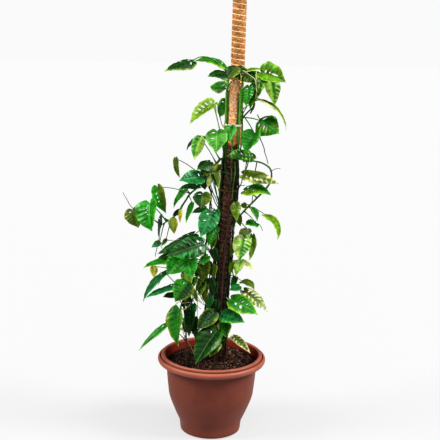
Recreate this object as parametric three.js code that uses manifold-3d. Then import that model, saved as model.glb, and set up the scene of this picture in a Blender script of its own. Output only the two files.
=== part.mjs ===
// A potted climbing Monstera adansonii on two coir poles. Millimetres, +Z up, origin at the
// centre of the pot's flat underside.
import * as THREE from 'three';
import { mergeVertices } from 'three/addons/utils/BufferGeometryUtils.js';
import Module from 'manifold-3d';

const wasm = await Module();
wasm.setup();

// Pot
const POT_HEIGHT = 262;
const RIM_RADIUS = 175;
const BASE_RADIUS = 88;
const POT_SEGMENTS = 28;
const DRAIN_HOLES = 6;
const DRAIN_RADIUS = 6;
const DRAIN_CIRCLE = 58;

// Radius and height down the outside of the pot, over its rolled rim and down the inside.
const POT_OUTSIDE = [[BASE_RADIUS, 0], [BASE_RADIUS + 1.5, 3], [95, 3.6], [98.6, 11], [101.6, 35],
  [109, 53], [117.7, 73], [134.5, 117], [140, 150], [146.5, 226]];
const POT_RIM = [[158, 230], [168.5, 234.5], [174, 240.5], [RIM_RADIUS, 246], [172.5, 252],
  [166.5, 255.4], [165.4, 258], [161.5, POT_HEIGHT], [155.5, POT_HEIGHT], [150.8, 258.5], [148.5, 252]];
const POT_INSIDE = [[143, 224], [136.5, 150], [131, 117], [114, 73], [98, 35], [94.5, 12]];
const POT_FLOOR = 5.5;

// Soil
const SOIL_LEVEL = 236;
const SOIL_FLOOR = 6;
const SOIL_GAP = 0.4;
const HOLE_CLEARANCE = 1.3;
const MOUND_HEIGHT = 24;
const MOUND_SPREAD = 34;

// Poles: coir sleeves on round stakes
const POLE_Y = 5;
const POLE_RADIUS = 19.5;
const POLE_TOP = 1152;
const POLE_FOOT = 190;
const POLE_AXIS = [[150, 12], [290, 17], [440, 21.5], [660, 35], [775, 42.5], [895, 49], [1030, 53],
  [1160, 54]];
const REAR_RADIUS = 21.5;
const REAR_TOP = 1402;
const REAR_FOOT = 945;
const REAR_STAKE_FOOT = 905;
const REAR_Y = POLE_Y + POLE_RADIUS + REAR_RADIUS + 0.8;
const REAR_AXIS = [[900, 59.2], [1402, 62]];
const STAKE_RADIUS = 7.5;
const STAKE_FOOT = 20;
const STAKE_COVER = 30;
const CLEARANCE = 0.4;
const WRAP_PITCH = 44;
const WRAP_DEPTH = 0.9;
const POLE_SEGMENTS = 10;

// Ties round the poles and the climbing stems
const TIE_HEIGHTS = { tie_upper: 1012, tie_lower: 806 };
const TIE_BAND = 4;
const TIE_THICKNESS = 1.6;
const TIE_SLACK = 0.5;
const STEM_SLACK = 0.9;
const TIE_SIDES = 24;
const KNOT_BEARING = -140;
const KNOT_RADIUS = 3.6;
const TAIL_RADIUS = 1;

// Leaves
const BLADE = 1.0;
const DROOP = 22;
const RUFFLE = 2.2;
const PETIOLE_RADIUS = 1.35;
const PETIOLE_RISE = 0.12;
const LARGE_LEAF = 54;
const TENDRIL_RADIUS = 0.9;
const SPIKE_RADIUS = 1.8;

// The reference view: the eye, its tilt and roll, and its focal length in picture units. Points
// that the view fixes are written as u (right), v (down) and y (depth behind the pot's axis).
const EYE = new THREE.Vector3(17, -3300, 1480);
const TILT = THREE.MathUtils.degToRad(13.17);
const ROLL = THREE.MathUtils.degToRad(1.35);
const FOCAL = 1070;
const VIEW_CENTRE = 220;
const AHEAD = new THREE.Vector3(0, Math.cos(TILT), -Math.sin(TILT));
const ABOVE = new THREE.Vector3(0, Math.sin(TILT), Math.cos(TILT));
const RIGHT = new THREE.Vector3(1, 0, 0);
const VIEW_RIGHT = RIGHT.clone().multiplyScalar(Math.cos(ROLL)).addScaledVector(ABOVE, Math.sin(ROLL));
const VIEW_UP = ABOVE.clone().multiplyScalar(Math.cos(ROLL)).addScaledVector(RIGHT, -Math.sin(ROLL));

// Stems. A climbing point is [height, bearing round the front pole, gap to it]; bearing 0 is
// right, 90 behind, 180 left, -90 in front. A free point is { u, v, y } in the reference view, or
// { x, y, z }.
const STEMS = {
  vine_left: { radius: 4.2, path: [
    [175, 196, 7], [240, 196, 7], [400, 190, 2], [600, 184, 1.2], [800, 180, 1.2], [1000, 178, 1.2],
    [1100, 182, 1.2], { u: 228, v: 83, y: -14 }, { u: 230, v: 76, y: -30 }, { u: 233, v: 69, y: -36 }] },
  vine_right: { radius: 4.2, path: [
    [175, -10, 9], [240, -10, 8], [400, -4, 2], [600, -6, 1.2], [800, -34, 1.2], [1000, -46, 1.2],
    [1080, -44, 1.2], { u: 241.5, v: 88, y: -14 }, { u: 243, v: 80, y: -14 }, { u: 246, v: 74, y: -18 }] },
  vine_front: { radius: 3.2, path: [
    [175, -86, 12], [240, -86, 10], [400, -80, 3], [600, -84, 1.2], [760, -84, 1.2], [900, -90, 1.2],
    [985, -96, 1.2]] },
  vine_branch: { radius: 2.8, path: [
    [175, -160, 30], [240, -160, 26], [400, -160, 12], [560, -158, 9], [740, -160, 9], [860, -165, 9],
    { u: 221.5, v: 158.5, y: -18 }, { u: 212, v: 169, y: -30 }, { u: 205, v: 180, y: -42 },
    { u: 198, v: 187, y: -46 }, { u: 190, v: 194, y: -44 }, { u: 186, v: 200, y: -44 },
    { u: 182, v: 206, y: -44 }, { u: 176, v: 215, y: -42 }, { u: 166, v: 222, y: -40 },
    { u: 161, v: 225, y: -38 }] },
  vine_loop: { radius: 2.8, path: [
    [175, 30, 22], [240, 28, 18], [420, 20, 5], [600, 20, 2.5], [690, 14, 4],
    { u: 239, v: 217, y: -20 }, { u: 247, v: 208, y: -22 }, { u: 258, v: 197, y: -24 },
    { u: 268, v: 186, y: -26 }, { u: 271.5, v: 177, y: -26 }, { u: 270, v: 168.5, y: -26 },
    { u: 262, v: 163, y: -24 }, { u: 252, v: 161, y: -22 }, { u: 243, v: 161.5, y: -24 }] },
  vine_low_left: { radius: 2.8, path: [
    { x: -34, y: -42, z: 175 }, { x: -34, y: -42, z: 240 }, { u: 204, v: 320, y: -44 },
    { u: 206, v: 300, y: -44 }, { u: 206, v: 280, y: -46 }, { u: 205, v: 262, y: -48 },
    { u: 206, v: 244, y: -50 }, { u: 209, v: 226, y: -46 }, { u: 210, v: 206, y: -44 },
    { u: 212, v: 190, y: -40 }] },
  vine_low_right: { radius: 2.8, path: [
    [175, -52, 16], [240, -50, 14], [340, -44, 8], [440, -40, 3], [540, -38, 3], [620, -40, 3],
    { u: 241, v: 234, y: -14 }] },
  vine_foot_left: { radius: 2.6, path: [
    { x: -80, y: -50, z: 175 }, { x: -80, y: -50, z: 240 }, { u: 186, v: 334, y: -56 },
    { u: 185, v: 318, y: -58 }, { u: 184, v: 306, y: -60 }, { u: 184, v: 292, y: -60 },
    { u: 182, v: 280, y: -58 }] },
  vine_foot_front: { radius: 2.8, path: [
    { x: 8, y: -62, z: 175 }, { x: 8, y: -62, z: 240 }, { u: 217, v: 330, y: -54 },
    { u: 218, v: 316, y: -48 }, { u: 221, v: 306, y: -44 }] },
  vine_back: { radius: 3.2, path: [
    [175, 100, 8], [240, 100, 6], [400, 104, 2], [500, 112, 2], [600, 128, 3], [800, 140, 4],
    [1000, 146, 4], [1080, 144, 4]] },
};

// Aerial roots, bare side stems and tendrils, each from inside its vine.
const TENDRILS = [
  { vine: 'vine_branch', path: [{ u: 134, v: 209.5, y: -34 }, { u: 130, v: 205, y: -34 },
    { u: 126, v: 198, y: -36 }, { u: 122.5, v: 192, y: -38 }] },
  { vine: 'vine_loop', path: [{ u: 269.8, v: 171.5, y: -26 }, { u: 276, v: 168.6, y: -28 },
    { u: 281, v: 168.3, y: -30 }] },
  { vine: 'vine_loop', path: [{ u: 255.2, v: 222.8, y: -30.5 }, { u: 260, v: 225, y: -28 },
    { u: 262.5, v: 231, y: -28 }] },
  { vine: 'vine_loop', radius: 1.8, path: [{ u: 257, v: 161.8, y: -23 }, { u: 255, v: 171, y: -20 },
    { u: 253.8, v: 180, y: -20 }, { u: 253.2, v: 191, y: -20 }, { u: 252, v: 203.2, y: -23 }] },
  { vine: 'vine_loop', radius: 1.6, path: [{ u: 248.5, v: 161.2, y: -23 }, { u: 244.7, v: 170.8, y: -26 },
    { u: 241.5, v: 182, y: -28 }] },
  { vine: 'vine_right', radius: 1.4, path: [{ u: 254.6, v: 133.2, y: -26 }, { u: 257.5, v: 133.5, y: -22 },
    { u: 261, v: 140, y: -20 }, { u: 264.5, v: 150, y: -19 }, { u: 268.2, v: 164, y: -16 }] },
  { vine: 'vine_right', radius: SPIKE_RADIUS, path: [{ u: 262, v: 123.5, y: -17 },
    { u: 259.6, v: 120, y: -20 }, { u: 257.2, v: 114.5, y: -22 }] },
  { vine: 'vine_right', radius: 2, path: [{ u: 241, v: 120.5, y: -15 }, { u: 248, v: 112, y: -20 },
    { u: 252.5, v: 107.5, y: -22 }, { u: 254.5, v: 102, y: -24 }] },
  { vine: 'vine_right', radius: 1.2, path: [{ u: 241, v: 116.5, y: -16 }, { u: 244, v: 111.5, y: -18 },
    { u: 247, v: 106, y: -20 }] },
  { vine: 'vine_branch', radius: 1.1, path: [{ u: 158.8, v: 239, y: -39 }, { u: 157, v: 248, y: -38 },
    { u: 155.4, v: 256.5, y: -36 }] },
  { vine: 'vine_low_left', radius: 2.4, path: [{ u: 209, v: 227, y: -46 }, { u: 210.5, v: 243, y: -43 },
    { u: 213.5, v: 258, y: -40 }, { u: 215, v: 272, y: -40 }, { u: 213.5, v: 290, y: -41 },
    { u: 210, v: 306, y: -42 }, { u: 204.5, v: 317, y: -44 }] },
  { vine: 'vine_low_left', radius: 2.2, path: [{ u: 206, v: 257, y: -48 }, { u: 209.5, v: 268, y: -45 },
    { u: 209.6, v: 283, y: -44 }, { u: 209, v: 297, y: -44 }, { u: 204.6, v: 313, y: -44 }] },
  { vine: 'vine_low_right', radius: 2, path: [{ u: 233, v: 255, y: -22 }, { u: 231.5, v: 266, y: -24 },
    { u: 233.5, v: 278, y: -24 }, { u: 232, v: 290, y: -24 }] },
];

// The dry stalk, from the soil to its curled head.
const STALK_RADIUS = 1.8;
const STALK_HEAD = 5;
const STALK_PATH = [{ x: -52, y: -8, z: 190 }, { x: -52, y: -8, z: 240 }, { u: 192.5, v: 350, y: -6 },
  { u: 187, v: 340, y: -4 }, { u: 184, v: 335, y: -2 }, { u: 182, v: 329, y: 0 }];

// Leaves, one row each, in the order of LEAF_FIELDS. The heel is where the petiole meets the
// blade. wide is the true width; turn rolls the face about the midrib away from the viewer
// (0 facing, 90 edge-on, 180 underside); fold raises both halves; curl arches the midrib;
// root is the picture point where the petiole leaves its stem; rise lifts the petiole.
const LEAF_FIELDS = ['vine', 'heelU', 'heelV', 'heelY', 'tipU', 'tipV', 'tipY', 'wide', 'turn', 'fold',
  'curl', 'holes', 'rootU', 'rootV', 'rise'];
const LEAVES = [
  ['vine_left', 225, 67, -14, 194, 61.5, -34, 54, 74, 12, 60, 3, 229, 77],
  ['vine_left', 193, 61, -40, 164.5, 71.5, -66, 60, 56, -8, 40, 3, 230, 76, 60],
  ['vine_left', 229, 73.5, -40, 207.5, 76.5, -82, 60, 58, -4, 40, 1, 230, 80],
  ['vine_left', 225, 87, 8, 209.5, 86.5, 48, 50, 128, 10, 15, 1, 228, 92],
  ['vine_left', 235, 68, -52, 225, 87, -78, 56, 46, 22, 30, 2, 232, 71],
  ['vine_left', 213.7, 104, -46, 189.5, 124, -78, 56, 36, 46, 26, 3, 225, 150],
  ['vine_left', 225.5, 101, 34, 219.5, 117.5, 60, 40, 30, 10, 30, 1, 227, 118],
  ['vine_right', 238.5, 67, -19, 255, 84, -52, 68, -30, -18, 30, 3, 243, 78],
  ['vine_right', 261.5, 73, -34, 286, 82.5, -58, 76, -30, 40, 30, 3, 246, 74],
  ['vine_right', 247.5, 70.3, -26, 262, 69.8, -34, 34, -72, 10, 30, 1, 245, 75],
  ['vine_right', 270.5, 78, -20, 275, 105.5, -26, 50, 25, 16, 20, 1, 246, 76],
  ['vine_right', 263, 77, -48, 253.5, 103, -60, 54, 45, 16, 24, 1, 245, 77],
  ['vine_right', 249.5, 87, -62, 246, 106.5, -74, 40, 35, 16, 20, 1, 242, 90],
  ['vine_right', 258, 99.5, -20, 286.5, 130, -50, 50, -76, 14, 70, 1, 241, 112],
  ['vine_right', 254.5, 133, -26, 245.5, 153.5, -62, 66, 26, 36, 24, 3, 241, 112],
  ['vine_right', 260, 125, -16, 281.5, 127, -58, 74, -16, -13, 60, 3, 241, 118],
  ['vine_right', 250, 74, -26, 266, 80, -30, 44, -50, 10, 20, 0, 245, 75],
  ['vine_front', 231, 127, -48, 231, 143, -80, 42, 34, 16, 20, 1, 233, 134],
  ['vine_front', 219, 131.5, -56, 217, 153, -104, 68, 4, 12, 24, 3, 231, 140],
  ['vine_front', 251, 157.5, -66, 226, 156.5, -84, 60, 52, 21, 20, 3, 233, 150],
  ['vine_front', 236, 203, -44, 237, 221, -66, 36, 34, 14, 20, 0, 232, 210],
  ['vine_front', 237, 214, -32, 240.5, 226.5, -40, 24, -20, 14, 20, 0, 230, 220],
  ['vine_front', 212, 171, -52, 219, 190, -62, 26, -46, 12, 20, 1, 230, 176],
  ['vine_branch', 199.8, 137.5, -56, 194.4, 160, -74, 40, 18, 10, 24, 1, 216.5, 164],
  ['vine_branch', 204.5, 137, -30, 186.5, 150.5, -46, 32, 62, 10, 80, 1, 220, 160],
  ['vine_branch', 210.5, 161.5, -66, 197, 169.5, -96, 50, 38, -11, 20, 1, 212, 170],
  ['vine_branch', 175.8, 158.5, -56, 180, 178, -62, 26, 50, 12, 40, 0, 194, 171],
  ['vine_branch', 201.5, 178, -78, 179, 180.5, -112, 54, 32, 25, 20, 1, 205, 181],
  ['vine_branch', 199, 186, -58, 178.5, 189.5, -66, 34, 56, 8, 50, 1, 200, 185],
  ['vine_branch', 186.5, 188, -40, 173.5, 208, -50, 34, 58, 12, 40, 1, 190, 194],
  ['vine_branch', 150, 203, -60, 152, 231.5, -98, 94, 42, 33, 30, 3, 166, 221],
  ['vine_branch', 157.5, 187, -36, 166, 213.5, -54, 48, 30, 26, 24, 2, 190, 193],
  ['vine_branch', 132.5, 209.5, -34, 138.5, 228, -50, 60, 0, 10, 30, 2, 161, 225],
  ['vine_branch', 161.2, 216, -26, 159.4, 240, -40, 38, 74, 12, 20, 1, 168, 220],
  ['vine_branch', 160, 242, -28, 151.5, 247.5, -38, 22, 30, 8, 20, 0, 164, 223],
  ['vine_branch', 166.3, 239.2, -28, 161.5, 246, -34, 14, 30, 8, 20, 0, 172, 218],
  ['vine_branch', 173.3, 219, -46, 174.5, 234, -52, 32, 30, 20, 20, 0, 175, 216],
  ['vine_branch', 181, 210, -52, 180, 223, -58, 14, 30, 20, 20, 0, 182, 206],
  ['vine_branch', 192.5, 203.5, -50, 186, 223, -58, 26, 52, 14, 20, 0, 189, 196],
  ['vine_branch', 181, 211, -34, 172.5, 216, -42, 24, 40, 10, 30, 0, 184, 202],
  ['vine_branch', 208, 168, -52, 202, 176.5, -74, 36, 30, 10, 20, 0, 212, 170],
  ['vine_branch', 219, 164.5, -30, 215.5, 172, -36, 28, 20, 10, 20, 0, 213, 168],
  ['vine_branch', 217.3, 172, -34, 220.5, 181.5, -36, 18, 30, 10, 20, 0, 212, 171],
  ['vine_branch', 203, 176, -34, 205, 190, -36, 34, 10, 10, 20, 0, 205, 181],
  ['vine_loop', 254, 158.5, -34, 240, 150, -36, 34, 130, 8, 30, 1, 254, 161],
  ['vine_loop', 243.5, 174.5, -40, 278.8, 184, -66, 56, -62, 8, 24, 1, 247, 162],
  ['vine_loop', 244.5, 190.3, -36, 271.3, 195, -64, 62, -54, 8, 66, 3, 257, 198],
  ['vine_loop', 243, 203.5, -30, 246.5, 209, -40, 18, -10, 8, 10, 0, 250, 205],
  ['vine_loop', 251, 208.8, -34, 257.3, 221.6, -52, 34, -50, 41, 20, 1, 248, 207],
  ['vine_loop', 265.5, 215.2, -24, 277.5, 240, -52, 46, -60, 11, 105, 1, 249, 207],
  ['vine_loop', 256, 222.7, -30, 245.3, 224.7, -58, 40, 50, 8, 20, 1, 244, 211],
  ['vine_low_right', 247, 229, 4, 241, 240, 26, 38, 150, 10, 20, 1, 241, 236],
  ['vine_low_right', 243.5, 237, -50, 239.3, 260.7, -84, 58, 18, 14, 20, 3, 240, 246],
  ['vine_low_right', 252.5, 235.7, -22, 249, 261, -34, 36, -50, 10, 36, 1, 241, 238],
  ['vine_low_right', 242, 260.8, -30, 254, 270, -48, 34, -60, 10, 20, 1, 236, 262],
  ['vine_low_right', 241, 260, -52, 235.7, 276, -72, 34, 36, 12, 20, 1, 235, 266],
  ['vine_low_right', 231.5, 299.6, -52, 258, 314.6, -96, 62, -24, 10, 24, 3, 229, 300],
  ['vine_low_right', 244.5, 291, -24, 267.5, 311.5, -56, 50, -38, 12, 24, 3, 230, 290],
  ['vine_low_right', 242, 281.3, -18, 254.3, 289.7, -40, 42, -56, 10, 90, 1, 233, 276],
  ['vine_low_right', 239.5, 286, -46, 230, 290.5, -60, 34, 40, 8, 20, 1, 231, 284],
  ['vine_low_right', 236, 277, -24, 231, 288, -30, 22, 30, 10, 20, 0, 233, 280],
  ['vine_low_left', 203, 193, -80, 201, 208.5, -106, 56, 10, 10, 20, 1, 211, 200],
  ['vine_low_left', 206, 208, -56, 192, 213, -66, 32, 50, 8, 24, 1, 210, 214],
  ['vine_low_left', 212, 213, -76, 200.5, 237.3, -112, 60, 8, 12, 24, 3, 208, 230],
  ['vine_low_left', 215, 227, -42, 208, 246, -60, 38, 20, 14, 20, 1, 207, 240],
  ['vine_low_left', 193.5, 233.5, -66, 157, 254.3, -112, 62, 40, -29, 14, 3, 205, 250],
  ['vine_low_left', 203, 244, -92, 166, 256, -136, 66, 18, 8, 24, 3, 206, 262],
  ['vine_low_left', 182, 257.5, -66, 167, 275, -92, 70, 18, 10, 24, 3, 206, 272],
  ['vine_low_left', 187, 257, -96, 192, 278.5, -128, 56, 0, 10, 24, 3, 206, 276],
  ['vine_low_left', 206, 262, -54, 203, 282.5, -66, 36, 18, 10, 20, 1, 206, 286],
  ['vine_low_left', 168, 259.8, -46, 143.3, 267.8, -84, 48, 64, 10, 24, 1, 205, 282],
  ['vine_low_left', 173, 254.5, -28, 157, 259.5, -40, 40, 56, 8, 20, 1, 205, 262],
  ['vine_low_left', 153.8, 266.5, -33, 153.7, 278, -37, 24, 14, 10, -20, 0, 205, 284],
  ['vine_low_left', 214, 312.5, -74, 197, 329.7, -100, 52, 20, 10, 24, 1, 204, 318],
  ['vine_low_left', 208, 256, -54, 199, 265, -70, 30, 30, 10, 20, 1, 206, 258],
  ['vine_low_left', 216, 210, -52, 216.5, 225, -66, 26, 10, 8, 20, 1, 209.5, 208],
  ['vine_low_left', 200, 281, -50, 196, 292, -60, 16, 30, 10, 20, 0, 206, 290],
  ['vine_low_left', 205, 283, -52, 200, 297, -60, 18, 40, 10, 20, 0, 206, 296],
  ['vine_low_left', 197, 277, -60, 193, 288, -66, 14, 30, 10, 20, 0, 206, 285],
  ['vine_low_left', 198, 319, -38, 192.5, 334.5, -46, 40, 10, 10, 20, 0, 203.5, 321],
  ['vine_foot_left', 186, 271, -70, 190, 287, -84, 38, 14, 10, 20, 1, 184, 290],
  ['vine_foot_left', 165.5, 272.5, -56, 143, 301.8, -90, 42, 60, 10, 46, 1, 184, 296],
  ['vine_foot_left', 176, 285.3, -64, 144.5, 298.3, -108, 42, 62, 8, 14, 1, 184, 300],
  ['vine_foot_left', 176, 294.3, -42, 162.8, 297, -58, 32, 50, 8, 20, 1, 184, 308],
  ['vine_foot_left', 187, 283, -92, 175, 302, -116, 66, 6, 10, 24, 3, 184, 312],
  ['vine_foot_left', 179.5, 309, -88, 178.5, 346.5, -128, 74, 46, 39, 24, 3, 186, 330],
  ['vine_foot_left', 167, 324.3, -60, 138.8, 350.5, -92, 32, 46, 12, 20, 1, 186, 340],
  ['vine_foot_left', 189.5, 317, -40, 184, 333, -50, 34, 20, 10, 20, 0, 185.5, 325],
  ['vine_foot_left', 193, 304, -46, 190, 319, -56, 30, 20, 10, 20, 0, 184.5, 312],
  ['vine_foot_left', 191, 298.5, -50, 180, 307, -60, 30, 30, 10, 20, 0, 184.5, 302],
  ['vine_foot_front', 217, 331, -96, 195, 365, -140, 84, 30, 30, 24, 3, 215, 350],
  ['vine_foot_front', 218, 342, -62, 209.5, 356.8, -78, 36, 18, 10, 20, 1, 215, 352],
  ['vine_foot_front', 224, 322.5, -54, 226, 337.5, -74, 44, 4, 26, 20, 1, 216, 340],
  ['vine_foot_front', 221.5, 314, -58, 244.8, 322.5, -92, 56, -34, 10, 24, 1, 217, 328],
  ['vine_foot_front', 233, 338, -22, 250.5, 354.5, -64, 38, -30, 12, 24, 1, 216, 346],
  ['vine_foot_front', 224, 331, -30, 221, 347, -44, 30, 10, 10, 20, 0, 217.5, 332],
  ['vine_back', 226, 134, 70, 216, 150, 120, 48, 168, 10, 24, 1, 229, 150],
  ['vine_back', 230, 200, 76, 226, 220, 126, 44, 168, 10, 24, 1, 224, 215],
  ['vine_back', 224, 240, 66, 216, 258, 116, 44, 166, 10, 24, 1, 224, 250],
  ['vine_back', 218, 290, 62, 214, 310, 110, 44, 170, 10, 24, 1, 220, 300],
  ['vine_back', 222, 308, 66, 224, 328, 110, 44, -170, 10, 24, 1, 219, 320],
];

// Flat blade, as fractions: [along the midrib, across a half]. Veins run from a midrib station
// to the next edge station, and each cell between two veins may hold one hole.
const BIG_MIDRIB = [0, 0.2, 0.52];
const BIG_EDGE = [[-0.1, 0.36], [0.03, 0.8], [0.27, 1], [0.62, 0.73], [0.86, 0.26]];
const SMALL_MIDRIB = [0, 0.3];
const SMALL_EDGE = [[-0.07, 0.45], [0.2, 1], [0.6, 0.75], [0.85, 0.28]];
const HOLE_ORDER = [[1, 1], [-1, 1], [1, 2], [-1, 2]];

function sight(u, v, y) {
  const ray = AHEAD.clone()
    .addScaledVector(VIEW_RIGHT, (u - VIEW_CENTRE) / FOCAL)
    .addScaledVector(VIEW_UP, (VIEW_CENTRE - v) / FOCAL);
  return EYE.clone().addScaledVector(ray, (y - EYE.y) / ray.y);
}

function seen(point) {
  const away = point.clone().sub(EYE);
  const scale = FOCAL / away.dot(AHEAD);
  return [VIEW_CENTRE + scale * away.dot(VIEW_RIGHT), VIEW_CENTRE - scale * away.dot(VIEW_UP)];
}

function along(stations, z) {
  let i = 0;
  while (i < stations.length - 2 && z > stations[i + 1][0]) {
    i += 1;
  }
  const [z0, x0] = stations[i];
  const [z1, x1] = stations[i + 1];
  return x0 + (x1 - x0) * (z - z0) / (z1 - z0);
}

function closed(geometry) {
  const plain = geometry.clone();
  plain.deleteAttribute('normal');
  plain.deleteAttribute('uv');
  plain.clearGroups();
  return mergeVertices(plain, 1e-4);
}

function solid(geometry) {
  const shell = closed(geometry);
  return new wasm.Manifold(new wasm.Mesh({
    numProp: 3,
    vertProperties: new Float32Array(shell.attributes.position.array),
    triVerts: new Uint32Array(shell.index.array),
  }));
}

function geometryOf(body) {
  const mesh = body.getMesh();
  const geometry = new THREE.BufferGeometry();
  geometry.setAttribute('position', new THREE.BufferAttribute(mesh.vertProperties, 3));
  geometry.setIndex(new THREE.BufferAttribute(mesh.triVerts, 1));
  return geometry;
}

function named(name, geometry, colour, roughness) {
  geometry.computeVertexNormals();
  const material = new THREE.MeshStandardMaterial({ color: colour, roughness, metalness: 0 });
  const mesh = new THREE.Mesh(geometry, material);
  mesh.name = name;
  return mesh;
}

function smooth(points, perSpan) {
  const path = [];
  for (let i = 0; i < points.length - 1; i += 1) {
    const before = points[Math.max(i - 1, 0)];
    const after = points[Math.min(i + 2, points.length - 1)];
    for (let k = 0; k < perSpan; k += 1) {
      const t = k / perSpan;
      const point = new THREE.Vector3();
      point.addScaledVector(before, 0.5 * (-t + 2 * t * t - t * t * t));
      point.addScaledVector(points[i], 0.5 * (2 - 5 * t * t + 3 * t * t * t));
      point.addScaledVector(points[i + 1], 0.5 * (t + 4 * t * t - 3 * t * t * t));
      point.addScaledVector(after, 0.5 * (-t * t + t * t * t));
      path.push(point);
    }
  }
  path.push(points[points.length - 1].clone());
  return path;
}

function tube(path, radius, sides, steps) {
  const ring = new THREE.Shape();
  for (let i = 0; i <= sides; i += 1) {
    const angle = 2 * Math.PI * i / sides;
    ring[i ? 'lineTo' : 'moveTo'](radius * Math.cos(angle), radius * Math.sin(angle));
  }
  return new THREE.ExtrudeGeometry(ring, { steps, extrudePath: path, bevelEnabled: false, curveSegments: 1 });
}

function stemPoint(point, radius) {
  if ('u' in point) {
    return sight(point.u, point.v, point.y);
  }
  if ('x' in point) {
    return new THREE.Vector3(point.x, point.y, point.z);
  }
  const [z, bearing, gap] = point;
  const angle = THREE.MathUtils.degToRad(bearing);
  const reach = POLE_RADIUS + radius + gap;
  const centre = new THREE.Vector3(along(POLE_AXIS, z), POLE_Y, z);
  return centre.add(new THREE.Vector3(reach * Math.cos(angle), reach * Math.sin(angle), 0));
}

function stemPath(name) {
  const stem = STEMS[name];
  return smooth(stem.path.map((point) => stemPoint(point, stem.radius)), 3);
}

// The straight runs between the rings of a stem, finely divided, so that roots start inside it.
function stemCentres(path) {
  const rings = new THREE.CatmullRomCurve3(path).getSpacedPoints(stemSteps(path));
  const shares = [0.2, 0.4, 0.6, 0.8, 1];
  return rings.slice(1).flatMap((ring, i) => shares.map((k) => rings[i].clone().lerp(ring, k)));
}

function stemSteps(path) {
  return Math.round(path.length * 0.45);
}

function curve(path) {
  return new THREE.CatmullRomCurve3(smooth(path.map((point) => stemPoint(point, 0)), 3));
}

function row(values) {
  return Object.fromEntries(LEAF_FIELDS.map((field, i) => [field, values[i]]));
}

// The curved sheet of one leaf: point(s, t) for s along the midrib, t across, -1 to 1.
function blade(leaf) {
  const heel = sight(leaf.heelU, leaf.heelV, leaf.heelY);
  const tip = sight(leaf.tipU, leaf.tipV, leaf.tipY);
  const chord = heel.distanceTo(tip);
  const axis = tip.clone().sub(heel).normalize();
  const toEye = EYE.clone().sub(heel);
  toEye.addScaledVector(axis, -toEye.dot(axis)).normalize();
  const side = axis.clone().cross(toEye);
  const turn = THREE.MathUtils.degToRad(leaf.turn);
  const face = toEye.clone().multiplyScalar(Math.cos(turn)).addScaledVector(side, Math.sin(turn));
  const across = axis.clone().cross(face);
  const curl = THREE.MathUtils.degToRad(leaf.curl);
  const bend = chord / (2 * Math.sin(curl / 2));
  const frame = (s) => {
    const angle = curl * (s - 0.5);
    const spot = heel.clone()
      .addScaledVector(axis, bend * (Math.sin(angle) + Math.sin(curl / 2)))
      .addScaledVector(face, bend * (Math.cos(angle) - Math.cos(curl / 2)));
    const normal = face.clone().multiplyScalar(Math.cos(angle)).addScaledVector(axis, Math.sin(angle));
    return { spot, normal };
  };
  const point = (s, t, lift) => {
    const { spot, normal } = frame(s);
    const slope = THREE.MathUtils.degToRad(leaf.fold - DROOP * Math.abs(t) / 2);
    const out = Math.abs(t) * leaf.wide / 2;
    const wave = RUFFLE * leaf.wide / 60 * Math.sin(9 * s + leaf.heelU + 2 * Math.sign(t)) * t * t;
    spot.addScaledVector(across, Math.sign(t) * out * Math.cos(slope));
    spot.addScaledVector(normal, out * Math.sin(slope) + wave);
    const lean = THREE.MathUtils.degToRad(leaf.fold - DROOP * Math.abs(t));
    spot.addScaledVector(normal, lift * (t ? Math.cos(lean) : 1 / Math.max(Math.cos(lean), 0.5)));
    spot.addScaledVector(across, -Math.sign(t) * lift * Math.sin(lean));
    return spot;
  };
  return { point, heel };
}

// One half of the flat blade as corner loops: cells, and the holes inside some of them.
function halfCells(side, edge, midrib, holes) {
  const mid = (i) => [midrib[i], 0];
  const rim = (i) => [edge[i][0], side * edge[i][1]];
  const cells = [{ loop: [mid(0), rim(0), rim(1)] }];
  for (let i = 0; i < midrib.length - 1; i += 1) {
    cells.push({ loop: [mid(i), rim(i + 1), rim(i + 2), mid(i + 1)], hole: holes.includes(i + 1) });
  }
  const last = midrib.length - 1;
  const end = [];
  for (let i = last + 1; i < edge.length; i += 1) {
    end.push(rim(i));
  }
  cells.push({ loop: [mid(last), ...end, [1, 0]] });
  return cells;
}

function lerp2(a, b, k) {
  return [a[0] + (b[0] - a[0]) * k, a[1] + (b[1] - a[1]) * k];
}

// A slender hole along the veins of a four-cornered cell.
function holeLoop([a, b, c, d]) {
  const inner = lerp2(lerp2(a, d, 0.5), lerp2(b, c, 0.5), 0.2);
  const outer = lerp2(lerp2(a, d, 0.5), lerp2(b, c, 0.5), 0.7);
  const low = lerp2(lerp2(a, b, 0.5), lerp2(d, c, 0.5), 0.34);
  const high = lerp2(lerp2(a, b, 0.5), lerp2(d, c, 0.5), 0.66);
  return [inner, low, outer, high];
}

function cellTriangles({ loop, hole }) {
  if (!hole) {
    return loop.slice(2).map((corner, i) => [loop[0], loop[i + 1], corner]);
  }
  const [a, b, c, d] = loop;
  const [inner, low, outer, high] = holeLoop(loop);
  return [[a, b, low], [a, low, inner], [b, c, outer], [b, outer, low], [c, d, high], [c, high, outer],
    [d, a, inner], [d, inner, high]];
}

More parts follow.
